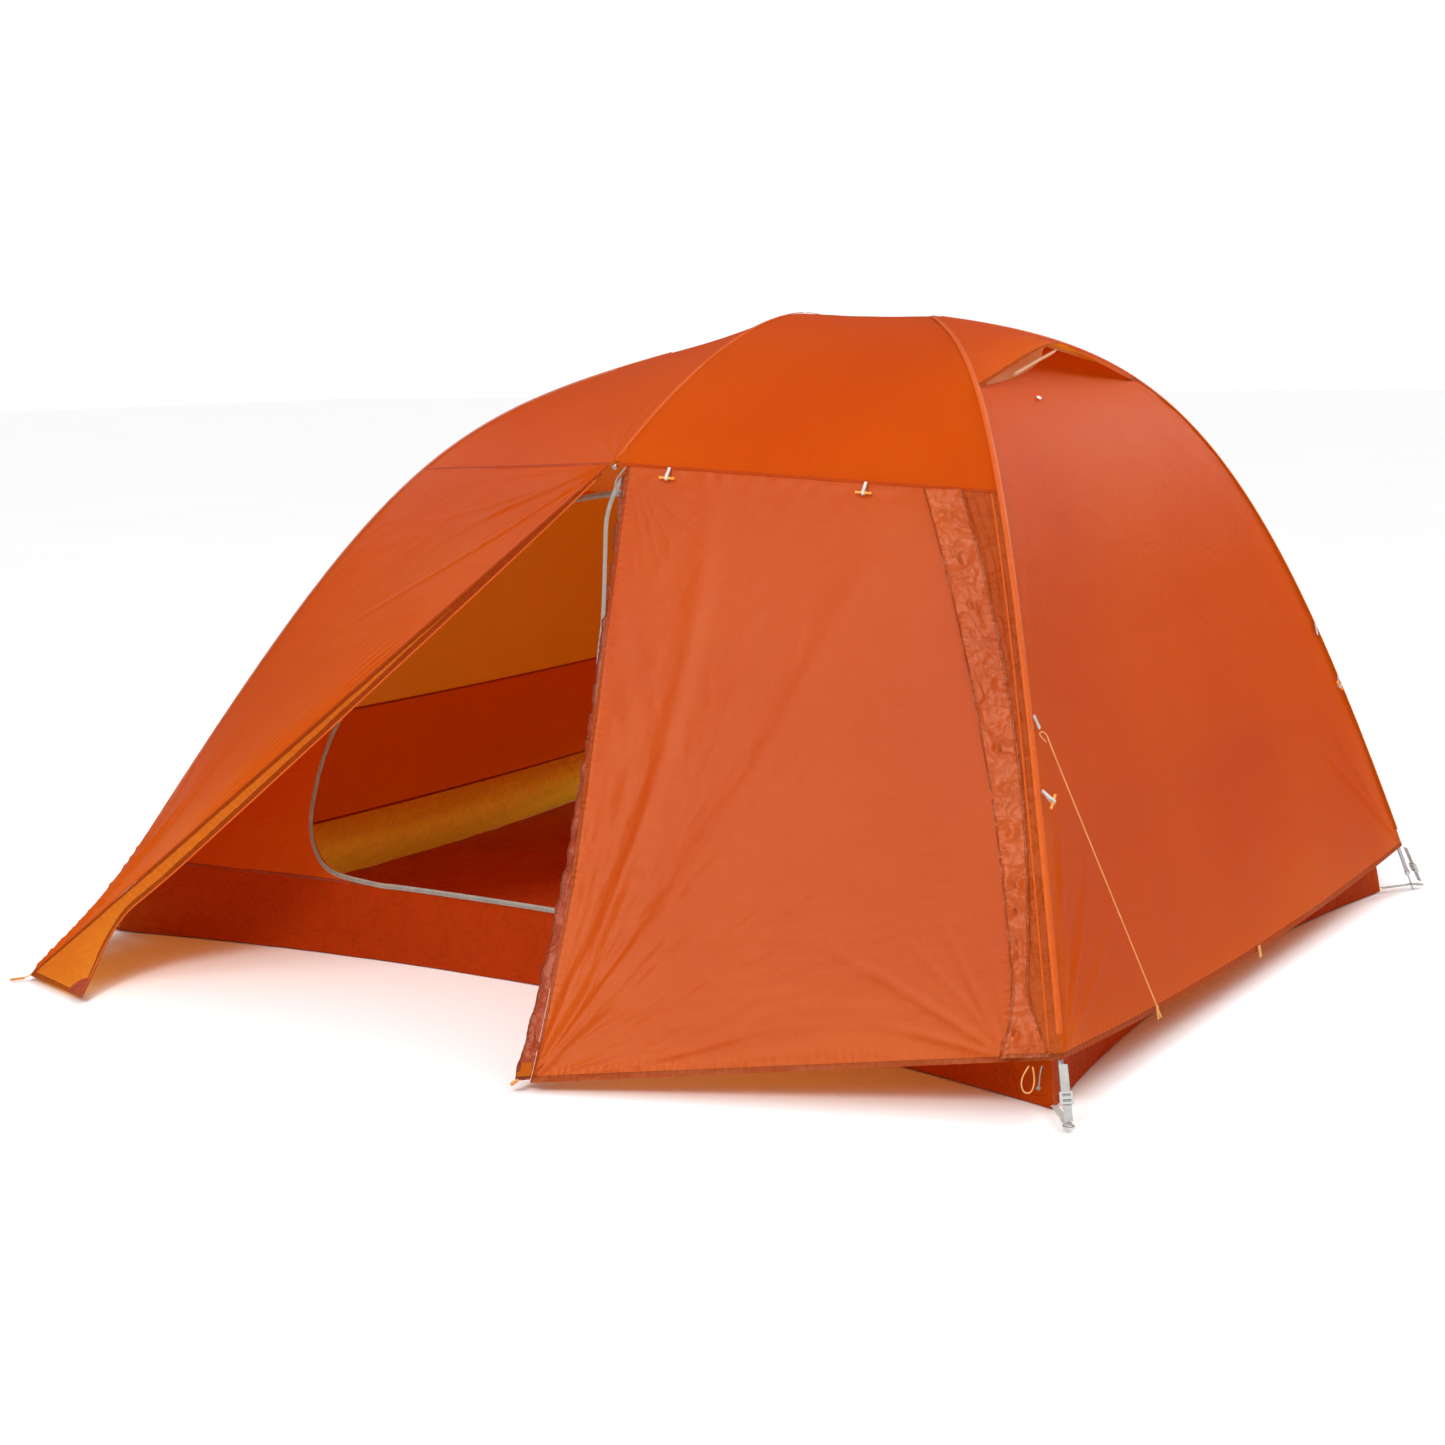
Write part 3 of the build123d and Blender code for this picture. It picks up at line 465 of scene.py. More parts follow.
def leg_controls(side, face, inset=0.0, tip_inset=0.0):
    hub = HUB[side]
    tip = TIP * vec(side, face, 0)
    plan = vec(hub[0], 0, 0) - tip
    span = np.linalg.norm(plan)
    points = [tip + plan * (tip_inset / span)]
    for share, height in LEG[side]:
        points.append(tip + plan * (share + inset / span) + vec(0, 0, height - inset))
    points.append(hub - vec(0, 0, inset))
    return np.array(points)


LEGS = {}


def leg(side, face, z, inset=0.0, tip_inset=0.0):
    """Points of a leg at heights."""
    key = (side, face, inset, tip_inset)
    if key not in LEGS:
        LEGS[key] = cubic(leg_controls(*key), np.linspace(0, 1, 900))
    line = LEGS[key]
    z = np.asarray(z, float)
    return np.stack([np.interp(z, line[:, 2], line[:, k]) for k in range(3)], -1)


def lerp(a, b, u):
    return a + (b - a) * np.asarray(u, float)[..., None]


def inner_corner(side, face, z):
    """A corner of the inner tent, drawn out to its floor strap at the ground."""
    z = np.asarray(z, float)
    point = leg(side, face, z, INNER_INSET, INNER_INSET)
    near = (62 if side > 0 else 20) * np.clip(1 - z / 500, 0, 1) ** 2
    away = unit(np.stack([HUB[side][0] - point[..., 0], -point[..., 1], 0 * point[..., 2]], -1))
    return point + away * near[..., None]


# ---------------------------------------------------------------- surfaces
def roof(side, face, u, v):
    z = HUB[side][2] + (SEAM_Z[side] - HUB[side][2]) * v**1.6
    point = lerp(leg(side, face, z), cubic(BROW[face], v), u)
    point[..., 2] -= (4 + 8 * v) * bow_of(u)
    return point


def whole_roof(u, v):
    """The roof over ridge and brow pole: u 0..2 from left leg to right leg, v -1..1 from front to back."""
    out = np.zeros((*u.shape, 3))
    for side in (-1, 1):
        for face in (-1, 1):
            mask = ((u <= 1) if side < 0 else (u > 1)) & ((v <= 0) if face < 0 else (v > 0))
            across = u if side < 0 else 2 - u
            out[mask] = roof(side, face, across, np.abs(v))[mask]
    return out


def end(side, top, u, v, sag=48):
    bow = bow_of(u)
    hem = HEM_Z - 38 * bow
    z = hem + (top - hem) * v
    point = lerp(leg(side, -1, z), leg(side, 1, z), u)
    ease = np.minimum(1, 2.2 * (1 - v)) * np.minimum(1, 0.35 + 2.5 * v)
    point[..., 0] -= side * sag * bow * ease
    return point


def vented_end(u, v):
    rise = np.where(u < 0.72, (np.clip(u, 0, 0.72) / 0.72) ** 1.6, np.clip((1 - u) / 0.28, 0, 1) ** 0.7)
    return end(1, VENT_Z - 6 + 82 * rise, u, v)


def hood(u, v):
    z = VENT_Z - 12 + (HUB[1][2] - VENT_Z + 12) * v
    point = lerp(leg(1, -1, z), leg(1, 1, z), u)
    peak = (1.01 - np.sqrt((2 * u - 0.9) ** 2 + 0.02)) / 0.87 - 0.114 * np.clip(1 - u / 0.3, 0, 1)
    point[..., 2] += 87 * np.maximum(peak, 0) * (1 - v) ** 1.4 + 1.5
    return point


def vent_screen(u, v):
    """Mesh from the end panel's free top edge up to the hood's underside."""
    across = 0.06 + 0.88 * u
    low = vented_end(across, np.ones_like(v))
    high = hood(across, np.full(v.shape, 0.42)) - vec(0, 0, 4)
    return lerp(low, high, 0.02 + 0.94 * v)


def front(u, v):
    left = lerp(DOOR_CORNER, BROW[-1][3], v)
    right = leg(1, -1, HEM_Z + (SEAM_Z[1] - HEM_Z) * v)
    return lerp(left, right, u)


def zip_line(v):
    return 0.912 + 0.150 * v - 0.212 * v * v


def left_wall(u, v):
    left = leg(-1, -1, HEM_Z - 8 + (SEAM_Z[-1] - HEM_Z + 8) * v)
    return lerp(left, lerp(FLAP_CORNER, BROW[-1][3], v), u)


def flap_width(v):
    return 52 * (1 - v) ** 0.7 + 200 * np.maximum(0, 1 - v / 0.17) ** 1.7


def flap(u, v):
    root = lerp(FLAP_CORNER, BROW[-1][3], 0.004 + 0.975 * v)
    low = np.minimum(v, 0.25)[..., None] / 0.25
    outward = vec(0.975, -0.22, 0) * (1 - low) + vec(0.80, 0.05, -0.60) * low
    return root + unit(outward) * (0.6 + (flap_width(v) + 3) * u)[..., None]


def rear(side, u, v):
    hem = leg(side, 1, HEM_Z + (SEAM_Z[side] - HEM_Z) * v)
    seam = lerp(REAR_CORNER, BROW[1][3], v) + vec(side * 2.5, 0, 0)
    return lerp(seam, hem, u)


def wall_push(face, z):
    corners = (np.abs(inner_corner(-1, face, z)[..., 1]) + np.abs(inner_corner(1, face, z)[..., 1])) / 2
    return 797 + (690 - 797) * z / BROW_IN_Z - corners


def long_wall(face, z0, z1, u, v):
    z = z0 + (z1 - z0) * v
    point = lerp(inner_corner(-1, face, z), inner_corner(1, face, z), u)
    point[..., 1] += face * wall_push(face, z) * bow_of(u)
    return point


def short_wall(side, z0, z1, u, v):
    z = z0 + (z1 - z0) * v
    point = lerp(inner_corner(side, -1, z), inner_corner(side, 1, z), u)
    bow = 45 * (1 - 0.5 * np.minimum(1, z / 900)) + 45 * np.clip(1 - z / TUB_Z, 0, 1)
    point[..., 0] -= side * bow * bow_of(u)
    return point


def ceiling(face, u, v):
    ends = []
    for side in (-1, 1):
        top = HUB[side][2] - INNER_INSET - 4
        ends.append(inner_corner(side, face, BROW_IN_Z + (top - BROW_IN_Z) * v**0.7))
    point = lerp(ends[0], ends[1], u)
    z = np.full(u.shape, float(BROW_IN_Z))
    point[..., 1] += face * (wall_push(face, z) * bow_of(u) * (1 - v) + 2 * v)
    return point


def front_wall_y(x, z):
    """Where the inner front wall stands, for places across and up."""
    left, right = inner_corner(-1, -1, z)[..., 0], inner_corner(1, -1, z)[..., 0]
    u = np.clip((x - left) / (right - left), 0, 1)
    return long_wall(-1, 0, BROW_IN_Z, u, z / BROW_IN_Z)[..., 1]


# ---------------------------------------------------------------- folds
def soften(t):
    """A share from 0 to 1, eased at both ends."""
    return t * t * (3 - 2 * t)


def fade_in(edge, reach, v, low, high):
    """0 at a sheet's edges and 1 past those reaches: its sides, its bottom and its top."""
    return np.clip(np.minimum(edge / reach, np.minimum(v / low, (1 - v) / high)), 0, 1)
def rumple(x, y, size, seed, stretch=1.0):
    """Smooth seeded noise from 0 to 1 over flat cloth, its patches size metres across."""
    table = np.random.RandomState(seed).rand(64, 64)
    gx, gy = x / (size * stretch), y / size
    ix, iy = np.floor(gx).astype(int), np.floor(gy).astype(int)
    fx, fy = gx - ix, gy - iy
    fx, fy = soften(fx), soften(fy)
    a, b = table[ix % 64, iy % 64], table[(ix + 1) % 64, iy % 64]
    c, d = table[ix % 64, (iy + 1) % 64], table[(ix + 1) % 64, (iy + 1) % 64]
    return (a * (1 - fx) + b * fx) * (1 - fy) + (c * (1 - fx) + d * fx) * fy


def crease(x, y, size, seed, stretch=1.0, sharp=1.6):
    """Sharp-topped creases from 0 to 1."""
    bend = 0.5 * size * (rumple(x, y, size * 1.7, seed + 50) - 0.5)
    first = 1 - np.abs(2 * rumple(x + bend, y - bend, size, seed, stretch) - 1)
    second = 1 - np.abs(2 * rumple(x - bend, y + bend, size * 0.47, seed + 9, stretch) - 1)
    return (first**sharp + 0.45 * second**sharp) / 1.45


def fold(x, y, start, stop, width, depth, bend=0.0, open_end=0.6):
    """One tension fold between two places on flat cloth, widest and softest at its far end."""
    ax, ay = start
    dx, dy = stop[0] - ax, stop[1] - ay
    length = math.hypot(dx, dy)
    t = ((x - ax) * dx + (y - ay) * dy) / length**2
    off = ((x - ax) * dy - (y - ay) * dx) / length + bend * bow_of(t)
    inside = np.clip(t, 0, 1)
    wide = width * (0.35 + 0.65 * inside)
    fade = np.clip(t / 0.08, 0, 1) * np.clip((1 - t) / open_end, 0, 1)
    rel = (off / wide) ** 2
    return depth * (1 - 0.8 * rel) * np.exp(-rel) * soften(fade)


def fan(x, y, centre, reach, angles, width, depth, seed):
    """Folds that spread from one pulled corner."""
    rng = np.random.RandomState(seed)
    total = np.zeros_like(x)
    for angle in angles:
        a = math.radians(angle + rng.uniform(-3, 3))
        far = reach * rng.uniform(0.55, 1.1)
        stop = (centre[0] + far * math.cos(a), centre[1] + far * math.sin(a))
        total += fold(x, y, centre, stop, width * rng.uniform(0.7, 1.3), depth * rng.uniform(0.5, 1.2),
                      far * rng.uniform(-0.05, 0.05))
    return total


def puckers(x, y, along, seed, size=0.03, depth=0.8, reach=0.06):
    """Short pulled wrinkles standing off a seam; along is the distance from that seam."""
    near = np.exp(-np.maximum(along, 0) / reach)
    return depth * near * (rumple(x, y, size, seed) * 2 - 1)


# ---------------------------------------------------------------- cloth builder
def net(rows, columns):
    """The faces of a grid of points, as places in its list of points."""
    index = np.arange((rows + 1) * (columns + 1)).reshape(rows + 1, columns + 1)
    return np.stack([index[:-1, :-1], index[:-1, 1:], index[1:, 1:], index[1:, :-1]], -1).reshape(-1, 4)


def cloth(
    name, skin, columns, rows, nodes=(), relief=None, body="tent", material="fly", slot="fly_fabric", flip=False,
    u_range=(0, 1), v_range=(0, 1), held="stretched", rests=(), hems=(0, 0, 0, 0),
):
    """A sheet of cloth over a surface, its folds moved along the surface's own normal, UVs in metres."""
    u, v = np.meshgrid(np.linspace(*u_range, columns + 1), np.linspace(*v_range, rows + 1))
    base = skin(u, v) * MM
    normal = unit(np.cross(np.gradient(base, axis=1), np.gradient(base, axis=0)), 1e-12)
    if flip:
        normal = -normal
    steps = np.cumsum(np.linalg.norm(np.diff(base, axis=1), axis=-1), axis=1)
    x = np.concatenate([np.zeros((rows + 1, 1)), steps], axis=1)
    x -= x[:, columns // 2][:, None]
    steps = np.linalg.norm(np.diff(base, axis=0), axis=-1)
    y = np.cumsum(np.concatenate([np.zeros((1, columns + 1)), steps]), axis=0)
    y = np.repeat(y.mean(axis=1)[:, None], columns + 1, axis=1)
    if relief is not None:
        base = base + normal * (relief(u, v, x, y) * MM)[..., None]
    quads = net(rows, columns)
    if flip:
        quads = quads[:, ::-1]
    lay = np.stack([x, y], -1).reshape(-1, 2)
    made = mesh_piece(name, base.reshape(-1, 3), quads, material, lay, hem_lay(x, y, hems))
    settle(made, body, nodes)

NO_HEM = 9.0  # hem widths from any hem: too far for a hem to show


def hem_lay(x, y, hems):
    """How far each place is from the nearest hemmed edge, in hem widths, and how far along it."""
    away, along = np.full(x.shape, NO_HEM), y.copy()
    edges = ((x - x[:, :1], y), (x[:, -1:] - x, y), (y - y[:1], x), (y[-1:] - y, x))
    for width, (distance, run) in zip(hems, edges):
        if width:
            nearer = distance / width < away
            away, along = np.where(nearer, distance / width, away), np.where(nearer, run, along)
    return np.stack([away, along], -1).reshape(-1, 2)


def mesh_piece(name, points, faces, material, uv=None, hem=None):
    """A mesh object from points and faces, smooth, with its UVs."""
    data = bpy.data.meshes.new(name)
    data.from_pydata([tuple(p) for p in points], [], [tuple(int(i) for i in f) for f in faces])
    data.materials.append(MATERIALS[material])
    data.polygons.foreach_set("use_smooth", [True] * len(data.polygons))
    if uv is not None:
        corners = np.zeros(len(data.loops), int)
        data.loops.foreach_get("vertex_index", corners)
        uv = np.asarray(uv, float)
        hem = np.full(uv.shape, NO_HEM) if hem is None else hem
        for label, values in (("cloth", uv), ("hem", hem)):
            data.uv_layers.new(name=label).data.foreach_set("uv", values[corners].ravel())
    data.update()
    return put(name, data)


def settle(piece, body, nodes=()):
    """Puts a piece on its body, and in place of its CAD nodes."""
    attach(piece, body)
    if nodes:
        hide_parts(*nodes)
    return piece


def ribbon(name, line, side, normal, width, body, material, nodes=(), bulge=0.0, columns=6):
    """A narrow strip along a line of points (mm), side and normal given at each point, slightly arched."""
    line, side, normal = (np.asarray(a, float) for a in (line, side, normal))
    s = np.linspace(-0.5, 0.5, columns + 1)
    arch = bulge * np.cos(np.pi * s)
    across, up = side[:, None] * (s * width)[None, :, None], normal[:, None] * arch[None, :, None]
    points = line[:, None] + across + up
    rows = len(line) - 1
    run = np.concatenate([[0], np.cumsum(np.linalg.norm(np.diff(line, axis=0), axis=1))]) * MM
    uv = np.stack([np.repeat((s * width * MM)[None], rows + 1, 0), np.repeat(run[:, None], columns + 1, 1)],
                  -1)
    quads = net(rows, columns)
    made = mesh_piece(name, points.reshape(-1, 3) * MM, quads, material, uv.reshape(-1, 2))
    return settle(made, body, nodes)


def surface_frame(skin, u, v):
    """Points of a surface, and its unit normals there."""
    h = 0.004
    du = skin(u + h, v) - skin(u - h, v)
    dv = skin(u, v + h) - skin(u, v - h)
    return skin(u, v), unit(np.cross(du, dv))


def outward(here, n):
    """Normals turned away from the tent's middle."""
    return np.where(((here - vec(0, 0, 500)) * n).sum(-1, keepdims=True) < 0, -n, n)


# ---------------------------------------------------------------- fly
def roof_relief(u, v, x, y):
    """Creases from the brow's tips and soft pulls under the hubs."""
    out = np.zeros_like(x)
    for face in (-1, 1):
        level = y[0, 0] if face < 0 else y[-1, 0]
        angles = (62, 78, 96, 112, 128, 146, 30) if face < 0 else (-40, -66, -92, -118, -140)
        out += fan(x, y, (0.0, level), 0.30, angles, 0.016, 2.2, 11 + face)
    out += 1.2 * (crease(x, y, 0.13, 3) - 0.5)
    out += 3.0 * (rumple(x, y, 0.4, 5) - 0.5)
    edge = np.minimum(u, 2 - u) * 0.6
    out += puckers(x, y, edge, 21, 0.028, 1.2, 0.05)
    fade = np.clip(np.minimum(np.minimum(u, 2 - u) / 0.02, (1 - np.abs(v)) / 0.015), 0, 1)
    return out * fade


cloth("fly_roof", whole_roof, 220, 200, ("fly_roof_front", "fly_roof_back"), roof_relief, u_range=(0, 2),
      v_range=(-1, 1),
      rests=("pole_ridge", "pole_brow"))


def end_relief(u, v, x, y):
    """Long pulls from the corners, low soft waves near the hem, small puckers along the legs."""
    width = x[:, -1:] - x[:, :1]
    edge = np.minimum(u, 1 - u) * width
    out = 1.5 * (crease(x, y, 0.22, 8, 1.0) - 0.4) * (1 - 0.5 * v)
    for centre, angles in (((x[0, 0], 0.0), (84, 77, 69, 60, 48, 34)),
                           ((x[0, -1], 0.0), (96, 104, 112, 122, 136))):
        out += fan(x, y, centre, 0.85, angles, 0.018, 4.4, 31)
    out += puckers(x, y, edge, 33, 0.035, 2.0, 0.045)
    out += 5 * (rumple(x, y, 0.30, 36, 0.35) - 0.5) * np.clip(1 - v / 0.5, 0, 1)
    return out * fade_in(edge, 0.012, v, 0.006, 0.02)


PLAIN_HEM = (0, 0, 0.012, 0)  # a double hem along the bottom only
cloth("fly_end_vented", vented_end, 190, 190, ("fly_end_right",), end_relief, hems=PLAIN_HEM,
      rests=("pole_front_right", "pole_back_right"))
cloth("fly_end_plain", lambda u, v: end(-1, 1372, u, v), 130, 130, ("fly_end_left",), end_relief, flip=True,
      hems=PLAIN_HEM,
      rests=("pole_front_left", "pole_back_left"))


def hood_relief(u, v, x, y):
    return 1.6 * (crease(x, y, 0.06, 14) - 0.5) * (1 - v) + 1.0 * (rumple(x, y, 0.09, 15) - 0.5)


cloth("fly_hood", hood, 120, 50, ("fly_vent_hood",), hood_relief, hems=(0, 0, 0.010, 0),
      rests=("vent_strut",))
cloth("vent_screen", vent_screen, 90, 14, ("vent_mesh",), lambda u, v, x,
      y: 1.5 * (rumple(x, y, 0.05, 17) - 0.5),
      material="mesh", slot="mesh_fabric")

FRONT_RISE = 0.997  # how much of the front's height its sheets take
ZIP_HALF = 3.0  # half the gap the zip fills, in mm


def free_edge(rise):
    """How far the open panel's free edge is hollowed, as a share of the panel's width."""
    return 0.026 * np.clip(rise / 0.3, 0, 1) ** 0.8 + 0.012 * rise


def front_width(rise):
    """How wide the tent's front is, seam to leg, at places up it."""
    return np.linalg.norm(front(np.ones_like(rise), rise) - front(np.zeros_like(rise), rise), axis=-1)


def panel_skin(u, v):
    rise = FRONT_RISE * v
    low = free_edge(rise)
    return front(low + u * (zip_line(rise) - ZIP_HALF / front_width(rise) - low), rise)


def panel_relief(u, v, x, y):
    """Long creases from the pegged corner, short ones under the brow, crumples low down, soft waves."""
    corner = (x[0, 0], 0.0)
    top = (x[-1, 0], y[-1, 0])
    out = fan(x, y, corner, 0.55, (80, 74, 67, 60, 51, 42, 32, 22, 12), 0.014, 2.0, 41)
    out += fan(x, y, corner, 1.3, (77, 70, 63, 56), 0.034, 4.5, 42)
    out += fan(x, y, top, 0.35, (-94, -86, -76, -64, -48), 0.012, 0.9, 43)
    out += fan(x, y, (x[0, -1], 0.0), 0.5, (104, 116, 130, 146, 162), 0.016, 2.4, 44)
    out += 12 * (rumple(x + 0.25 * y, y, 0.24, 45, 1.0) - 0.5) * np.clip(bow_of(v), 0, 1)
    away = np.hypot(x - corner[0], y)
    turn = np.arctan2(y, x - corner[0])
    rays = rumple(turn * 1.6, away, 0.09, 46, 1.0) + 0.5 * rumple(turn * 1.6, away, 0.035, 47, 1.0)
    out += 3.8 * (rays - 0.75) * np.clip(1.3 - away, 0, 1) * np.clip(away / 0.2, 0, 1)
    low = np.clip(1.1 - 1.6 * v, 0, 1) * np.clip(rumple(x, y, 0.15, 49) * 2.2 - 0.6, 0.05, 1)
    out += 2.0 * (crease(x, y, 0.045, 51, 3.2, 2.0) - 0.4) * low
    out += puckers(x, y, y[-1, 0] - y, 48, 0.02, 1.4, 0.05)
    out += puckers(x, y, y, 50, 0.024, 1.6, 0.05)
    edge = np.minimum(u, 1 - u) * 0.9
    return out * fade_in(edge, 0.012, v, 0.008, 0.01)


# the front panel wears fly_front: fly cloth with painted shade
cloth("front_sheet", panel_skin, 230, 250, ("fly_front_panel",), panel_relief, "front_panel", "fly_front",
      hems=(0.007, 0.006, 0.012, 0), rests=("pole_brow",))


def strip_skin(u, v):
    rise = FRONT_RISE * v
    low = zip_line(rise) + ZIP_HALF / front_width(rise)
    return front(low + (1 - low) * u, rise)


def strip_relief(u, v, x, y):
    """Upright gathers beside the zip, strongest high up, and crumples low down."""
    gather = np.sin(x * 2 * np.pi / 0.019 + 5 * rumple(x, y, 0.16, 52, 0.4)) * (0.35 + 0.65 * v)
    out = 1.3 * gather + 3.0 * (crease(x, y, 0.05, 51, 0.5) - 0.4) * (1.1 - v)
    return out * np.clip(5 * u * (1 - u), 0, 1) * np.clip(np.minimum(v, 1 - v) / 0.02, 0, 1)


# the strip beside the zip is painted darker as shade
cloth("front_strip_sheet", strip_skin, 70, 300, ("fly_front_strip",), strip_relief, material="fly_strip",
      hems=PLAIN_HEM)


def storm_rise(v):
    return 0.004 + 0.985 * v


def front_frame(across, rise):
    """Points of the tent's front, and its normals there, turned forward."""
    here, n = surface_frame(front, across, np.clip(rise, 0.005, 0.995))
    return here, np.where(n[..., 1:2] > 0, -n, n)


def storm_skin(u, v):
    rise = storm_rise(v)
    low = zip_line(rise) - 0.042 + 0.048 * (1 - rise) ** 2.4 - 0.034 * np.maximum(0, 1 - rise / 0.12) ** 1.6
    high = zip_line(rise) + 0.019 + 0.036 * rise + 0.055 * np.maximum(0, 1 - rise / 0.13) ** 1.5
    here, n = front_frame(low + (high - low) * u, rise)
    return here + n * 5.0


def storm_relief(u, v, x, y):
    out = 13.0 * (rumple(x, y, 0.026, 55, 0.8) - 0.45) + 7.0 * (crease(x, y, 0.034, 56, 0.8) - 0.4)
    edge = np.clip(np.minimum(u, 1 - u) / 0.06, 0, 1)
    return np.clip(out * (0.35 + 0.65 * edge), -3.2, 9)


cloth("storm_right_sheet", storm_skin, 36, 420, ("storm_flap_right",), storm_relief, "front_panel",
      "fly_storm", "flap_fabric",
      held="hung", hems=(0.005, 0.005, 0.008, 0))


def storm_left_skin(u, v):
    rise = storm_rise(v)
    across = free_edge(rise) - (0.006 + 0.028 * (1 - rise) ** 2.2) * (1 - u) - 0.001 * u
    here, n = front_frame(across, rise)
    return here - n * (3.5 - 3.0 * u)[..., None]


def storm_left_relief(u, v, x, y):
    out = 12.0 * (rumple(x, y, 0.024, 58, 0.8) - 0.4) + 6.0 * (crease(x, y, 0.03, 59) - 0.4)
    return out * (1 - u) ** 0.5


# the left storm flap is doubled cloth painted dark as shade
cloth("storm_left_sheet", storm_left_skin, 26, 420, ("storm_flap_left", "fly_zip_left"), storm_left_relief,
      "front_panel",
      "fly_double_shaded", "flap_fabric", held="hung", hems=(0.004, 0, 0.010, 0))


def left_relief(u, v, x, y):
    """Fine pulled creases running along the fold line, and fans from the corners."""
    out = fan(x, y, (x[0, -1], 0.0), 1.15, (116, 121, 126, 132, 139, 148, 160), 0.016, 4.8, 61)
    out += fan(x, y, (x[-1, -1], y[-1, 0]), 0.9, (-172, -162, -153, -144, -136), 0.016, 2.4, 62)
    out += fan(x, y, (x[0, 0], 0.0), 0.6, (80, 66, 50, 34), 0.02, 2.4, 63)
    rim = (1 - u) * (x[:, -1:] - x[:, :1])
    wander = rumple(x, y, 0.20, 66, 0.5)
    lines = np.sin(rim * 2 * np.pi / 0.026 + 7 * wander) + 0.6 * np.sin(rim * 2 * np.pi / 0.014 + 9 * wander)
    out += 2.4 * lines * np.exp(-rim / 0.085) * np.clip(rumple(x, y, 0.13, 67) * 1.8 - 0.3, 0.1, 1)
    out += 6 * (rumple(x, y, 0.22, 64) - 0.5) * np.clip(bow_of(u), 0, 1)
    out += 1.8 * (crease(x, y, 0.10, 65) - 0.4)
    edge = np.minimum(u, 1 - u) * 0.8
    return out * fade_in(edge, 0.012, v, 0.008, 0.012)


cloth("left_wall_sheet", left_wall, 200, 240, ("fly_wall_left",), left_relief, hems=PLAIN_HEM,
      rests=("pole_front_left",))


def flap_relief(u, v, x, y):
    out = 3.0 * (crease(x, y, 0.05, 67, 0.6) - 0.4) + 1.4 * (crease(x, y, 0.02, 68) - 0.4)
    return out * np.clip(u / 0.15, 0, 1) * np.clip((1 - u) / 0.2, 0.1, 1)


cloth("flap_sheet", flap, 60, 420, ("left_flap",), flap_relief, "flap", "fly_lit", held="hung",
      hems=(0.008, 0.015, 0.013, 0))


def patch_skin(u, v):
    """A quarter round of doubled cloth in the flap's low free corner."""
    turn = u * np.pi / 2
    here, n = surface_frame(flap, 1 - 0.27 * v * np.cos(turn), 0.040 * v * np.sin(turn))
    return here + outward(here, n) * 1.6


# the doubled corner patch is painted dark as shade
cloth("flap_patch", patch_skin, 40, 20, body="flap", material="fly_double_shaded", slot="flap_fabric", held="hung")


def rear_relief(u, v, x, y):
    out = fan(x, y, (x[0, 0], 0.0), 0.8, (80, 66, 54, 42, 30, 16), 0.02, 3.6, 71)
    out = out + 6 * (rumple(x, y, 0.2, 72) - 0.5) + 2.0 * (crease(x, y, 0.08, 73) - 0.4)
    return out * fade_in(np.minimum(u, 1 - u), 0.02, v, 0.015, 0.015)


def rear_part(side):
    return lambda u, v: rear(side, u, v)


for side, label, nodes in ((1, "right", ("fly_rear_panels",)), (-1, "left", ())):
    cloth("rear_sheet_" + label, rear_part(side), 120, 140, nodes, rear_relief, flip=side < 0,
          rests=("pole_brow",))


# ---------------------------------------------------------------- inner tent
def soft(size, depth, seed, tight=0.0):
    """A relief of plain soft rumples that dies away at the edges."""

    def relief(u, v, x, y):
        out = depth * (crease(x, y, size, seed) - 0.4)
        out += depth * 1.5 * (rumple(x, y, size * 3, seed + 1) - 0.5)
        out += tight * (rumple(x, y, 0.03, seed + 2, 0.3) - 0.5)
        return out * fade_in(np.minimum(u, 1 - u), 0.02, v, 0.06, 0.06)

    return relief


TUB_FOOT = 3
TUB_LOOK = dict(material="tub", slot="floor_fabric")
WALL_LOOK = dict(material="inner_wall", slot="inner_fabric")
GABLE_LOOK = dict(material="gable", slot="gable_fabric")


def long_part(face, z0, z1):
    """A band of a long inner wall as a surface of its own."""
    return lambda u, v: long_wall(face, z0, z1, u, v)


def short_part(side, z0, z1):
    return lambda u, v: short_wall(side, z0, z1, u, v)


for face, label, nodes in ((-1, "front", ("tub_walls",)), (1, "back", ())):
    cloth("tub_" + label, long_part(face, TUB_FOOT, TUB_Z), 260, 30, nodes, soft(0.06, 3.5, 81 + face, 3.0),
          flip=face > 0, **TUB_LOOK)
for side, label in ((-1, "left"), (1, "right")):
    flip = side > 0
    top = HUB[side][2] - INNER_INSET - 4
    cloth("tub_" + label, short_part(side, TUB_FOOT, TUB_Z), 200, 30, (), soft(0.05, 4.0, 85 + side, 4.0),
          flip=flip, **TUB_LOOK)
    cloth("inner_end_" + label, short_part(side, TUB_Z, WALL_Z), 120, 50,
          ("inner_walls_end",) if flip else (),
          soft(0.14, 2.5, 88 + side), flip=flip, **WALL_LOOK)
    cloth("gable_" + label, short_part(side, WALL_Z, top), 90, 90, ("inner_gables",) if flip else (),
          soft(0.2, 2.5, 91 + side), flip=flip, **GABLE_LOOK)
for face, label, nodes in ((-1, "front", ()), (1, "back", ("inner_ceiling",))):
    cloth("ceiling_" + label, lambda u, v: ceiling(face, u, v), 90, 60, nodes, soft(0.2, 3, 95 + face),
          flip=face > 0, **GABLE_LOOK)
cloth("back_wall", long_part(1, TUB_Z, BROW_IN_Z), 160, 90, ("inner_wall_back",), soft(0.15, 3, 98),
      flip=True, **WALL_LOOK)


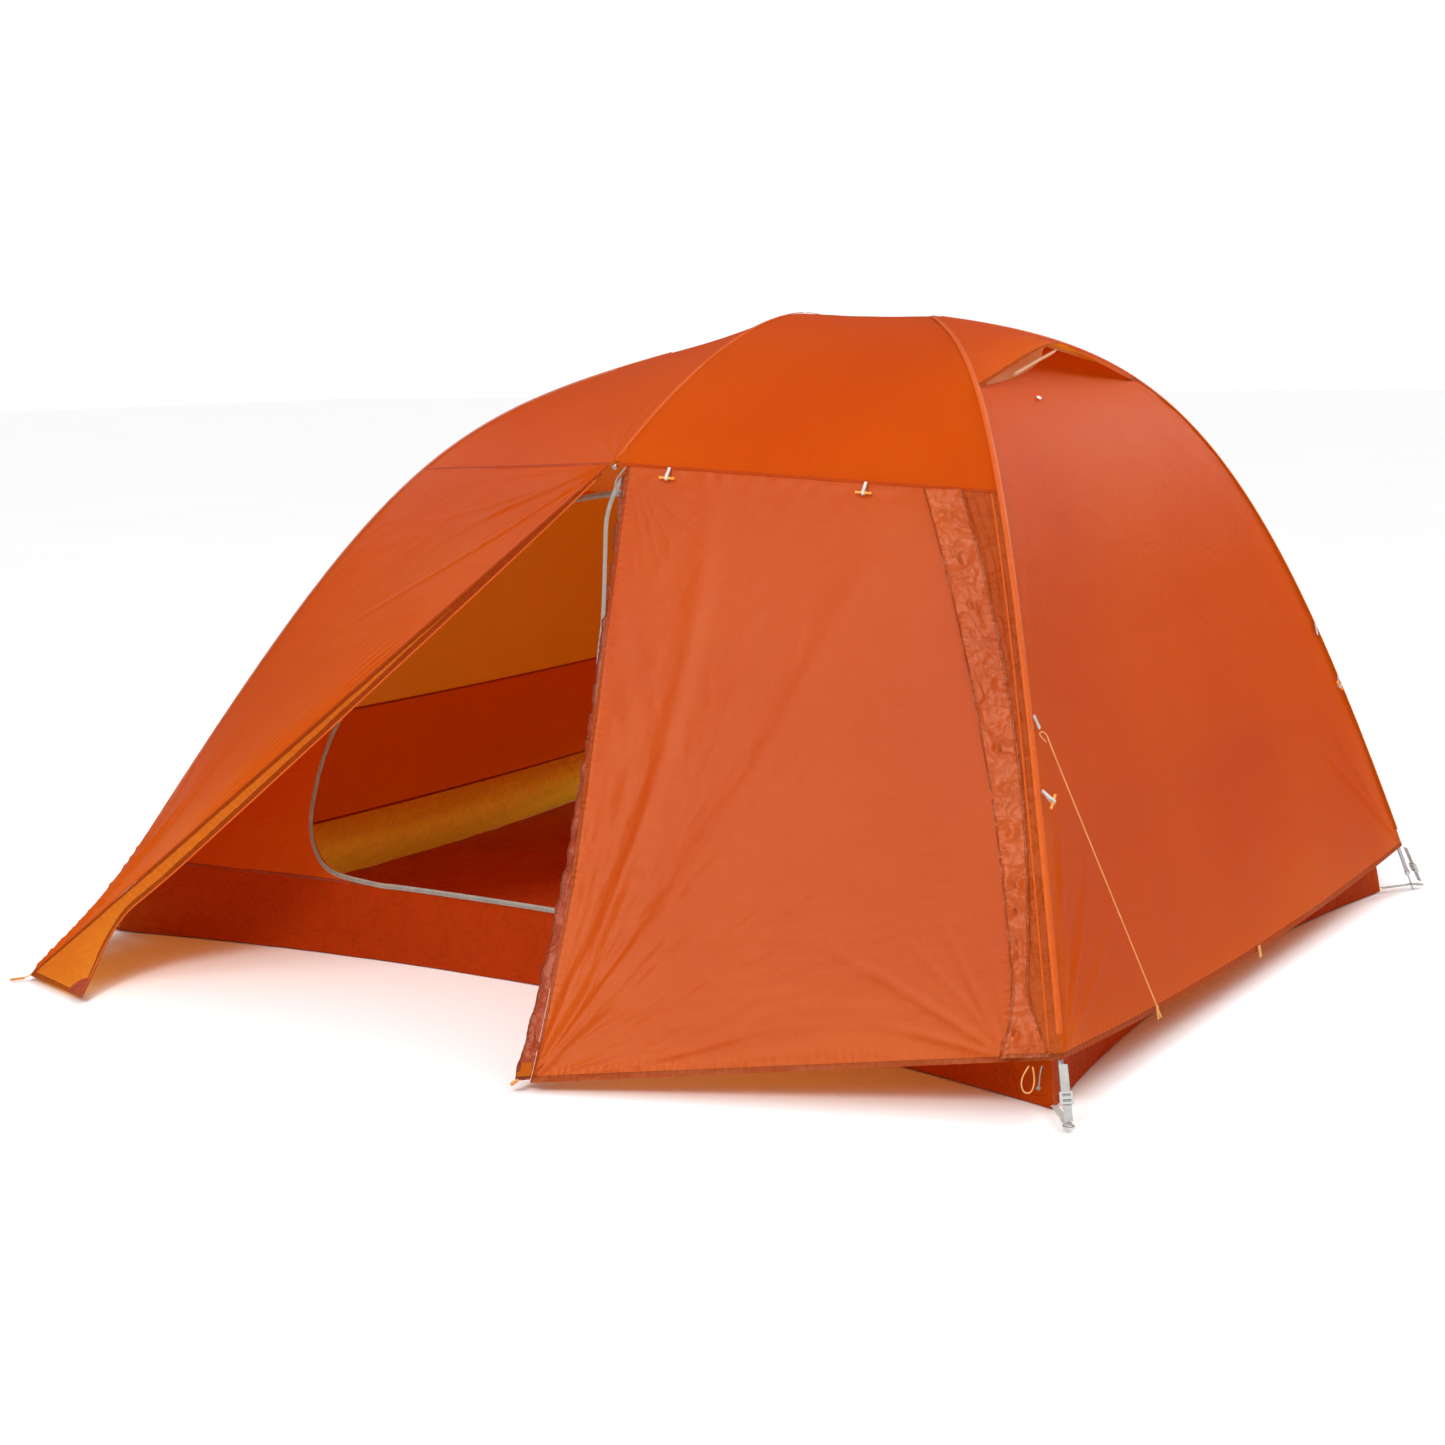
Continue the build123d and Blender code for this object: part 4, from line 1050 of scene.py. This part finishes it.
def floor_skin(u, v):
    corner = {(s, f): inner_corner(s, f, vec(0.0))[0] for s in (-1, 1) for f in (-1, 1)}
    low = lerp(corner[-1, -1], corner[1, -1], u)
    high = lerp(corner[-1, 1], corner[1, 1], u)
    push = 797 - (abs(corner[-1, -1][1]) + abs(corner[1, -1][1])) / 2
    low[..., 1] -= push * bow_of(u)
    high[..., 1] += push * bow_of(u)
    point = lerp(low, high, v)
    point[..., 0] += 90 * bow_of(v) * (1 - 2 * u)
    point[..., 2] = 2.2
    return point


def floor_relief(u, v, x, y):
    return 3.0 * np.maximum(0, crease(x, y, 0.12, 101) - 0.25)


cloth("floor_cloth", floor_skin, 200, 160, ("floor_sheet",), floor_relief, material="floor",
      slot="floor_fabric",
      held="laid")

DOOR_LEFT, DOOR_RIGHT, DOOR_LOW, DOOR_SPRING = -610, 330, 178, 985
DOOR_EDGE = [
    (DOOR_LEFT, DOOR_LOW), (-682, 206), (-730, 275), (-731, 394), (-694, 532),
    (-545, 782), (-240, 992), (60, 1069), (250, 1062), (DOOR_RIGHT, DOOR_SPRING),
]


def smooth_line(points, count):
    """Points along a Catmull-Rom curve through given points, evenly spaced."""
    p = np.asarray(points, float)
    ends = [2 * p[0] - p[1], *p, 2 * p[-1] - p[-2]]
    t = np.linspace(0, 1, 24, endpoint=False)[:, None]
    out = []
    for a, b, c, d in zip(ends, ends[1:], ends[2:], ends[3:]):
        out.append(0.5 * (2 * b + (c - a) * t + (2 * a - 5 * b + 4 * c - d) * t**2 + (3 * b - a - 3 * c + d)
                          * t**3))
    out = np.concatenate([*out, p[-1:]])
    run = np.concatenate([[0], np.cumsum(np.linalg.norm(np.diff(out, axis=0), axis=1))])
    want = np.linspace(0, run[-1], count)
    return np.stack([np.interp(want, run, out[:, k]) for k in range(out.shape[1])], -1)


DOOR_LINE = smooth_line(DOOR_EDGE, 150)


def inside(point, ring):
    """True if a flat point is inside a closed ring of points."""
    x, y = point[0], point[1]
    a, b = ring, np.roll(ring, -1, axis=0)
    hits = (a[:, 1] > y) != (b[:, 1] > y)
    with np.errstate(divide="ignore", invalid="ignore"):
        cross = (b[:, 0] - a[:, 0]) * (y - a[:, 1]) / (b[:, 1] - a[:, 1]) + a[:, 0]
    return bool(np.count_nonzero(hits & (x < cross)) % 2)


def front_wall():
    """The inner front wall with its doorway, triangulated flat and then bent to the wall's curve."""
    low = np.linspace(0, 1, 120)
    bottom = long_wall(-1, 0, BROW_IN_Z, low, low * 0 + TUB_Z / BROW_IN_Z)[:, [0, 2]]
    top = long_wall(-1, 0, BROW_IN_Z, low, low * 0 + 1.0)[::-1][:, [0, 2]]
    high = np.linspace(TUB_Z, BROW_IN_Z, 60)[1:-1]
    right = inner_corner(1, -1, high)[:, [0, 2]]
    left = inner_corner(-1, -1, high)[::-1][:, [0, 2]]
    outer = np.concatenate([bottom, right, top, left])
    sill = np.stack([np.linspace(DOOR_RIGHT, DOOR_LEFT, 60), np.full(60, float(DOOR_LOW))], -1)
    jamb = np.stack([np.full(40, float(DOOR_RIGHT)), np.linspace(DOOR_SPRING, DOOR_LOW, 41)[1:]], -1)
    hole = np.concatenate([DOOR_LINE, jamb[:-1], sill[:-1]])
    wide, tall = np.arange(-1150, 1220, 22.0), np.arange(TUB_Z + 14, BROW_IN_Z - 8, 22.0)
    grid = [Vector((x, z)) for x in wide for z in tall if inside((x, z), outer) and not inside((x, z), hole)]
    points = [Vector(p) for p in outer] + [Vector(p) for p in hole]
    n, m = len(outer), len(hole)
    edges = [(i, (i + 1) % n) for i in range(n)] + [(n + i, n + (i + 1) % m) for i in range(m)]
    verts, _, faces, *_ = delaunay_2d_cdt(points + grid, edges, [], 0, 1e-5)
    flat = np.array([tuple(v) for v in verts])
    middles = [flat[list(f)].mean(axis=0) for f in faces]
    keep = [f for f, middle in zip(faces, middles) if inside(middle, outer) and not inside(middle, hole)]
    y = front_wall_y(flat[:, 0], flat[:, 1])
    y = y - 4.0 * (crease(flat[:, 0] * MM, flat[:, 1] * MM, 0.11, 105) - 0.4)
    solid = np.stack([flat[:, 0], y, flat[:, 1]], -1) * MM
    made = mesh_piece("front_wall_sheet", solid, keep, "inner_wall", flat * MM)
    settle(made, "tent", ("inner_wall_front",))


front_wall()


def tube(name, line, radius, body, material):
    """A round piping along points, in millimetres."""
    data, spline = curve_data(name, "POLY", radius * MM, 3, len(line))
    spline.points.foreach_set("co",
                              np.concatenate([np.asarray(line) * MM, np.ones((len(line), 1))], 1).ravel())
    data.materials.append(MATERIALS[material])
    return settle(put(name, data), body)


def doorway_binding():
    """The grey zip bound round the doorway: a flat tape with its coil."""
    sill = np.stack([np.linspace(322, -580, 90), np.full(90, DOOR_LOW - 4.0)], -1)
    ring = DOOR_LINE + unit(DOOR_LINE - vec(-150, 560)) * 4
    flat = smooth_line(np.concatenate([sill[::6], ring[4::6]]), 320)
    line = np.stack([flat[:, 0], front_wall_y(flat[:, 0], flat[:, 1]) - 5.0, flat[:, 1]], -1)
    forward = vec(0, -1, 0)
    across = unit(np.cross(unit(np.gradient(line, axis=0)), forward))
    normal = np.repeat(forward[None], len(line), 0)
    ribbon("door_tape", line, across, normal, 12, "tent", "zip_grey", ("inner_door_zip",), 1.2)
    tube("door_coil", line + normal * 1.4, 1.7, "tent", "zip")


doorway_binding()


def bundle_skin(u, v):
    """The open inner door gathered in loose upright folds at its hinge side."""
    z = 200 + 730 * v
    widths = np.interp(z, (200, 390, 590, 780, 930), (128, 150, 158, 150, 112))
    x = 320 - widths * u
    wave = np.sin(u * 2 * np.pi * 5 + 1.4 * np.sin(v * 3.0) + 0.6) * (0.6 + 0.4 * np.sin(v * 7 + u * 5))
    y = front_wall_y(x, z) - 24 + 9.5 * wave
    return np.stack([x, y, z], -1)


def bundle_relief(u, v, x, y):
    return 2.5 * (crease(x, y, 0.035, 111, 0.5) - 0.4)


cloth("door_bundle", bundle_skin, 160, 120, ("inner_door_panel",), bundle_relief, "inner_door",
      held="gathered",
      **WALL_LOOK)


def door_strand():
    """The zip of the gathered door, hanging as a loose strand from the brow."""
    line = smooth_line([
        (158, -729, 1112), (136, -729, 1082), (117, -733, 1026), (115, -740, 942),
        (117, -756, 817), (110, -770, 700), (106, -788, 430), (112, -800, 210),
    ], 160)
    normal = np.repeat(vec(0.15, -0.989, 0)[None], len(line), 0)
    side = np.cross(unit(np.gradient(line, axis=0)), normal)
    ribbon("door_strand", line, side, normal, 10, "inner_door", "zip_grey", (), 1.4)


door_strand()


# ---------------------------------------------------------------- seams, hems, zips
def seam_on(name, skin, u, v, width, lift, bulge=0.8, material="fly_seam", slot="fly_fabric", body="tent",
            nodes=()):
    """A strip laid along a path on a surface."""
    here, n = surface_frame(skin, u, v)
    n = outward(here, n)
    side = unit(np.cross(unit(np.gradient(here, axis=0)), n))
    return ribbon(name, here + n * lift, side, n, width, body, material, nodes, bulge)


def leg_band(side, face, label):
    """The sleeve over a leg: a narrow band where the fly turns round the pole, its colour painted paler as a
    highlight.
    """
    line = cubic(leg_controls(side, face), np.linspace(0.045, 0.985, 260))
    line = line[line[:, 2] > HEM_Z - 4]
    run = unit(np.gradient(line, axis=0))
    out = line - np.stack([np.full(len(line), HUB[side][0] * 0.4), 0 * line[:, 1], line[:, 2] * 0.25], -1)
    out = unit(out - run * (out * run).sum(1)[:, None])
    ribbon("sleeve_" + label, line + out * 0.6, np.cross(run, out), out, 13, "tent", "fly_band",
           (), 2.6, 8)


for (side, face), label in CORNERS.items():
    leg_band(side, face, label)

ONE = np.ones(160)
STEP = np.linspace(0.01, 0.99, 160)
RIM = 0.995 * ONE
seam_on("seam_brow_right", front, STEP, RIM, 7, 1.2)
seam_on("seam_brow_left", left_wall, STEP, RIM, 7, 1.0)
seam_on("corner_band", storm_left_skin, STEP, ONE * 0.016, 26, 3.0, 0.6, "fly_lit", body="front_panel")
seam_on("seam_rear_right", rear_part(1), STEP, RIM, 7, 1.0)
# the brow sleeves wear fly_band, with its painted highlight
for face, label in ((-1, "front"), (1, "back")):
    seam_on("sleeve_brow_" + label, lambda u, v: roof(1, face, u, v), ONE * 0.996, STEP, 9, 0.8, 1.2,
            "fly_band")
seam_on("seam_rear_left", rear_part(-1), STEP, RIM, 7, 1.0)
seam_on("fold_edge", left_wall, ONE * 0.996, STEP, 6, 0.9)
# the flap's border wears fly_band, with its painted highlight
seam_on("flap_border", flap, ONE * 0.965, STEP, 4, 1.0, 0.8, "fly_band", body="flap",
        nodes=("left_flap_zip",))
# the zip tape wears fly_strip, with its painted shade
seam_on("zip_right_tape", front, zip_line(STEP), STEP, 11, 1.6, 0.9, "fly_strip", "flap_fabric",
        nodes=("fly_zip_right",))
# the panel's zip edge wears fly_band, with its painted highlight
seam_on("zip_edge", front, 1 - 0.022 * ONE, STEP, 4, 1.6, 0.8, "fly_band")
INNER_RIM = 0.99 * ONE
# the inner seams are doubled cloth painted dark as shade
INNER_SEAM = dict(material="fly_double_shaded", slot="flap_fabric")
seam_on("seam_tub_front", long_part(-1, TUB_FOOT, TUB_Z), STEP, INNER_RIM, 7, 0.8, 0.6, **INNER_SEAM)
for side, label in ((1, "right"), (-1, "left")):
    seam_on("seam_tub_" + label, short_part(side, TUB_FOOT, TUB_Z), STEP, INNER_RIM, 7, -1.2, -0.6,
            **INNER_SEAM)
    seam_on("seam_wall_" + label, short_part(side, TUB_Z, WALL_Z), STEP, INNER_RIM, 6, -1.2, -0.6,
            **INNER_SEAM)


# ---------------------------------------------------------------- toggles and knots
def lathe(name, centre, axis, profile, body, material, sides=20):
    """A turned piece: radii along an axis through its centre, in millimetres."""
    axis = unit(np.asarray(axis, float))
    first = unit(np.cross(axis, vec(0.3, 0.1, 0.9)))
    second = np.cross(axis, first)
    angle = np.linspace(0, 2 * np.pi, sides, endpoint=False)[:, None]
    spoke = first * np.cos(angle) + second * np.sin(angle)
    rings = [centre + axis * z + spoke * r for z, r in profile]
    index = np.arange(len(profile) * sides).reshape(len(profile), sides)
    turned = np.roll(index, -1, axis=1)
    quads = np.stack([index[:-1], turned[:-1], turned[1:], index[1:]], -1).reshape(-1, 4)
    caps = [list(index[0][::-1]), list(index[-1])]
    made = mesh_piece(name, np.concatenate(rings) * MM, [list(q) for q in quads] + caps, material)
    return settle(made, body)


def toggle(label, body, start, hang, across, drop=24.0):
    """A white webbing loop hung from the seam, with a waisted bar through it."""
    hang, across = unit(hang), unit(across)
    out = np.cross(hang, across)
    t = np.linspace(0, 1, 14)[:, None]
    round_bar = np.linspace(0, np.pi, 12)[:, None]
    centre = start + hang * drop
    down = start + hang * ((drop - 3.5) * t) + out * (0.4 + 3.4 * t**2)
    bend = centre + out * 3.9 * np.cos(round_bar) + hang * 3.9 * np.sin(round_bar)
    back = (start + hang * ((drop - 3.5) * t) - out * (0.4 + 3.4 * t**2))[::-1]
    line = np.concatenate([down, bend[1:-1], back])
    side = np.repeat(across[None], len(line), 0)
    normal = unit(np.cross(np.gradient(line, axis=0), side))
    loop = ribbon(label + "_loop", line, side, normal, 6, body, "loop_white", (), 0.0, 4)
    thick = loop.modifiers.new("thickness", "SOLIDIFY")
    thick.thickness = 0.9 * MM
    z = np.linspace(-16, 16, 33)
    waist = 2.3 + 1.3 * np.exp(-((z / 4.2) ** 2)) + 0.9 * (np.abs(z) / 16) ** 6
    profile = [(-17.0, 1.6), *zip(z, waist), (17.0, 1.6)]
    bar = lathe(label + "_bar", centre, across, profile, body, "toggle")
    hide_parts(label)


TIE_SHAPE = [(-16, 1.5), (16, 1.5)]
lathe("corner_tie", FLAP_CORNER + vec(-2, -1, 1), vec(1, 0.15, 0.35), TIE_SHAPE, "tent", "cord_orange",
      10)
SEAM_END = leg(1, -1, vec(SEAM_Z[1]))[0]
SEAM_RUN = unit(SEAM_END - BROW[-1][3])
HANG = vec(0.08, -0.52, -0.85)
HANG = unit(HANG - SEAM_RUN * HANG.dot(SEAM_RUN))
STAND = np.cross(HANG, SEAM_RUN)
STAND = STAND if STAND[1] < 0 else -STAND
for place, side in ((0.157, "left"), (0.67, "right")):
    start = front(np.array([place]), np.array([0.992]))[0] + STAND * 8
    toggle("toggle_brow_" + side, "toggle_" + side + "_brow", start, HANG, SEAM_RUN)
TOGGLE_Z = {1: 562, -1: 515}
for (side, face), label in CORNERS.items():
    start = leg(side, face, vec(TOGGLE_Z[side]))[0] + vec(side * 7, -face * 8, 0)
    down = unit(vec(side * 0.35, -face * 0.62, -0.70))
    toggle("toggle_side_" + label, "toggle_" + label, start, down, np.cross(down, vec(side, 0, 0.2)), 33.0)


def knot(name, route, body, radius):
    """An overhand knot at a grey cord's end: a trefoil of cord pulled tight."""
    at, before = np.array(route[-1]) * 1000, np.array(route[-2]) * 1000
    along = unit(at - before)
    first = unit(np.cross(along, vec(0.2, 0.9, 0.3)))
    second = np.cross(along, first)
    t = np.linspace(0, 2 * np.pi, 49)[:-1, None]
    wide = (2 + np.cos(3 * t)) * radius * 0.30
    flat = first * np.cos(2 * t) * wide + second * np.sin(2 * t) * wide
    line = at + flat + along * np.sin(3 * t) * radius * 0.55
    made = tube(name, line, radius * 0.34, body, "cord_grey")
    made.data.splines[0].use_cyclic_u = True


knot("pull_cord_knot", PULL_ROUTE, "tent", 3.4)
knot("tie_cord_knot", TIE_ROUTE, "front_panel", 4.4)


# ---------------------------------------------------------------- carried-over nodes
KEPT = {
    "pole": ("pole_ridge", "pole_brow", *("pole_" + label for label in CORNERS.values())),
    "steel": ("pole_ferrules", "corner_rings"),
    "hub": ("pole_hubs", "brow_swivel"),
    "tip": ("pole_tips",),
    "webbing": ("corner_straps", "floor_straps", "guy_tabs"),
    "tab": ("hem_loops", "front_peg_loop"),
    "buckle": ["corner_buckle_" + label for label in CORNERS.values()],
    "strut": ("vent_strut",),
    "patch": ("vent_patch",),
    "slider": ("inner_door_slider", "fly_zip_slider"),
    "zip": ("fly_rear_zip",),
}
for material, nodes in KEPT.items():
    for node in nodes:
        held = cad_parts[node]
        if not held.material_slots:
            held.data.materials.append(None)
        for place in held.material_slots:
            place.link = "OBJECT"
            place.material = MATERIALS[material]


# ---------------------------------------------------------------- floor and light
FLOOR_SIZE = 60.0
FLOOR_Z = -0.001
FLOOR_PALE, FLOOR_PALER = (0.90, 0.90, 0.90), (0.93, 0.93, 0.93)


def place_light(name, light, power, at, aim=(0, 0, 0)):
    light.energy = power
    held = put(name, light)
    held.location = at
    held.rotation_mode = "QUATERNION"
    held.rotation_quaternion = (Vector(aim) - Vector(at)).to_track_quat("-Z", "Y")


def lamp(name, at, aim, power, size):
    """A round soft box."""
    light = bpy.data.lights.new(name, "AREA")
    light.shape = "DISK"
    light.size = size
    place_light(name, light, power, at, aim)


def sun(name, at, power, degrees):
    """A broad patch of sky."""
    light = bpy.data.lights.new(name, "SUN")
    light.angle = math.radians(degrees)
    place_light(name, light, power, at)


def stage():
    """A plain pale floor and soft studio light."""
    made, tree = new_material("studio_floor")
    faint = noise(tree, object_place(tree), 0.6, 2)
    mixed = blend_colours(tree, faint, FLOOR_PALE, FLOOR_PALER)
    finish_material(tree, mixed, plus(tree, times(tree, faint, 0.05), 0.85), faint, 0.0001, 0.1)
    data = bpy.data.meshes.new("studio_floor")
    corners = [(x * FLOOR_SIZE, y * FLOOR_SIZE, FLOOR_Z) for x, y in ((-1, -1), (1, -1), (1, 1), (-1, 1))]
    data.from_pydata(corners, [], [(0, 1, 2, 3)])
    data.materials.append(made)
    put("studio_floor", data)
    lamp("key", (0.9, -6.4, 4.6), (0.8, -0.9, 0.5), 200, 1.7)
    lamp("side", (3.0, 6.3, 3.9), (1.0, 0, 1.0), 170, 1.7)
    lamp("left", (-6.2, 1.6, 3.9), (-0.6, -0.2, 0.9), 36, 1.8)
    sun("sky_front", (1.4, -4.4, 6.0), 1.60, 50)
    sun("sky_back", (2.0, 2.4, 6.0), 1.55, 60)

    world = bpy.data.worlds.new("studio")
    world.use_nodes = True
    tree = world.node_tree
    tree.nodes.clear()
    white = (1, 1, 1, 1)
    seen = add(tree, "ShaderNodeBackground", {"Color": white, "Strength": 1.05})
    lit = add(tree, "ShaderNodeBackground", {"Color": white, "Strength": 0.26})
    pick = add(tree, "ShaderNodeMixShader")
    tree.links.new(add(tree, "ShaderNodeLightPath").outputs["Is Camera Ray"], pick.inputs[0])
    tree.links.new(lit.outputs[0], pick.inputs[1])
    tree.links.new(seen.outputs[0], pick.inputs[2])
    tree.links.new(pick.outputs[0], add(tree, "ShaderNodeOutputWorld").inputs[0])
    bpy.context.scene.world = world
    bpy.context.scene.view_settings.view_transform = "Standard"


stage()
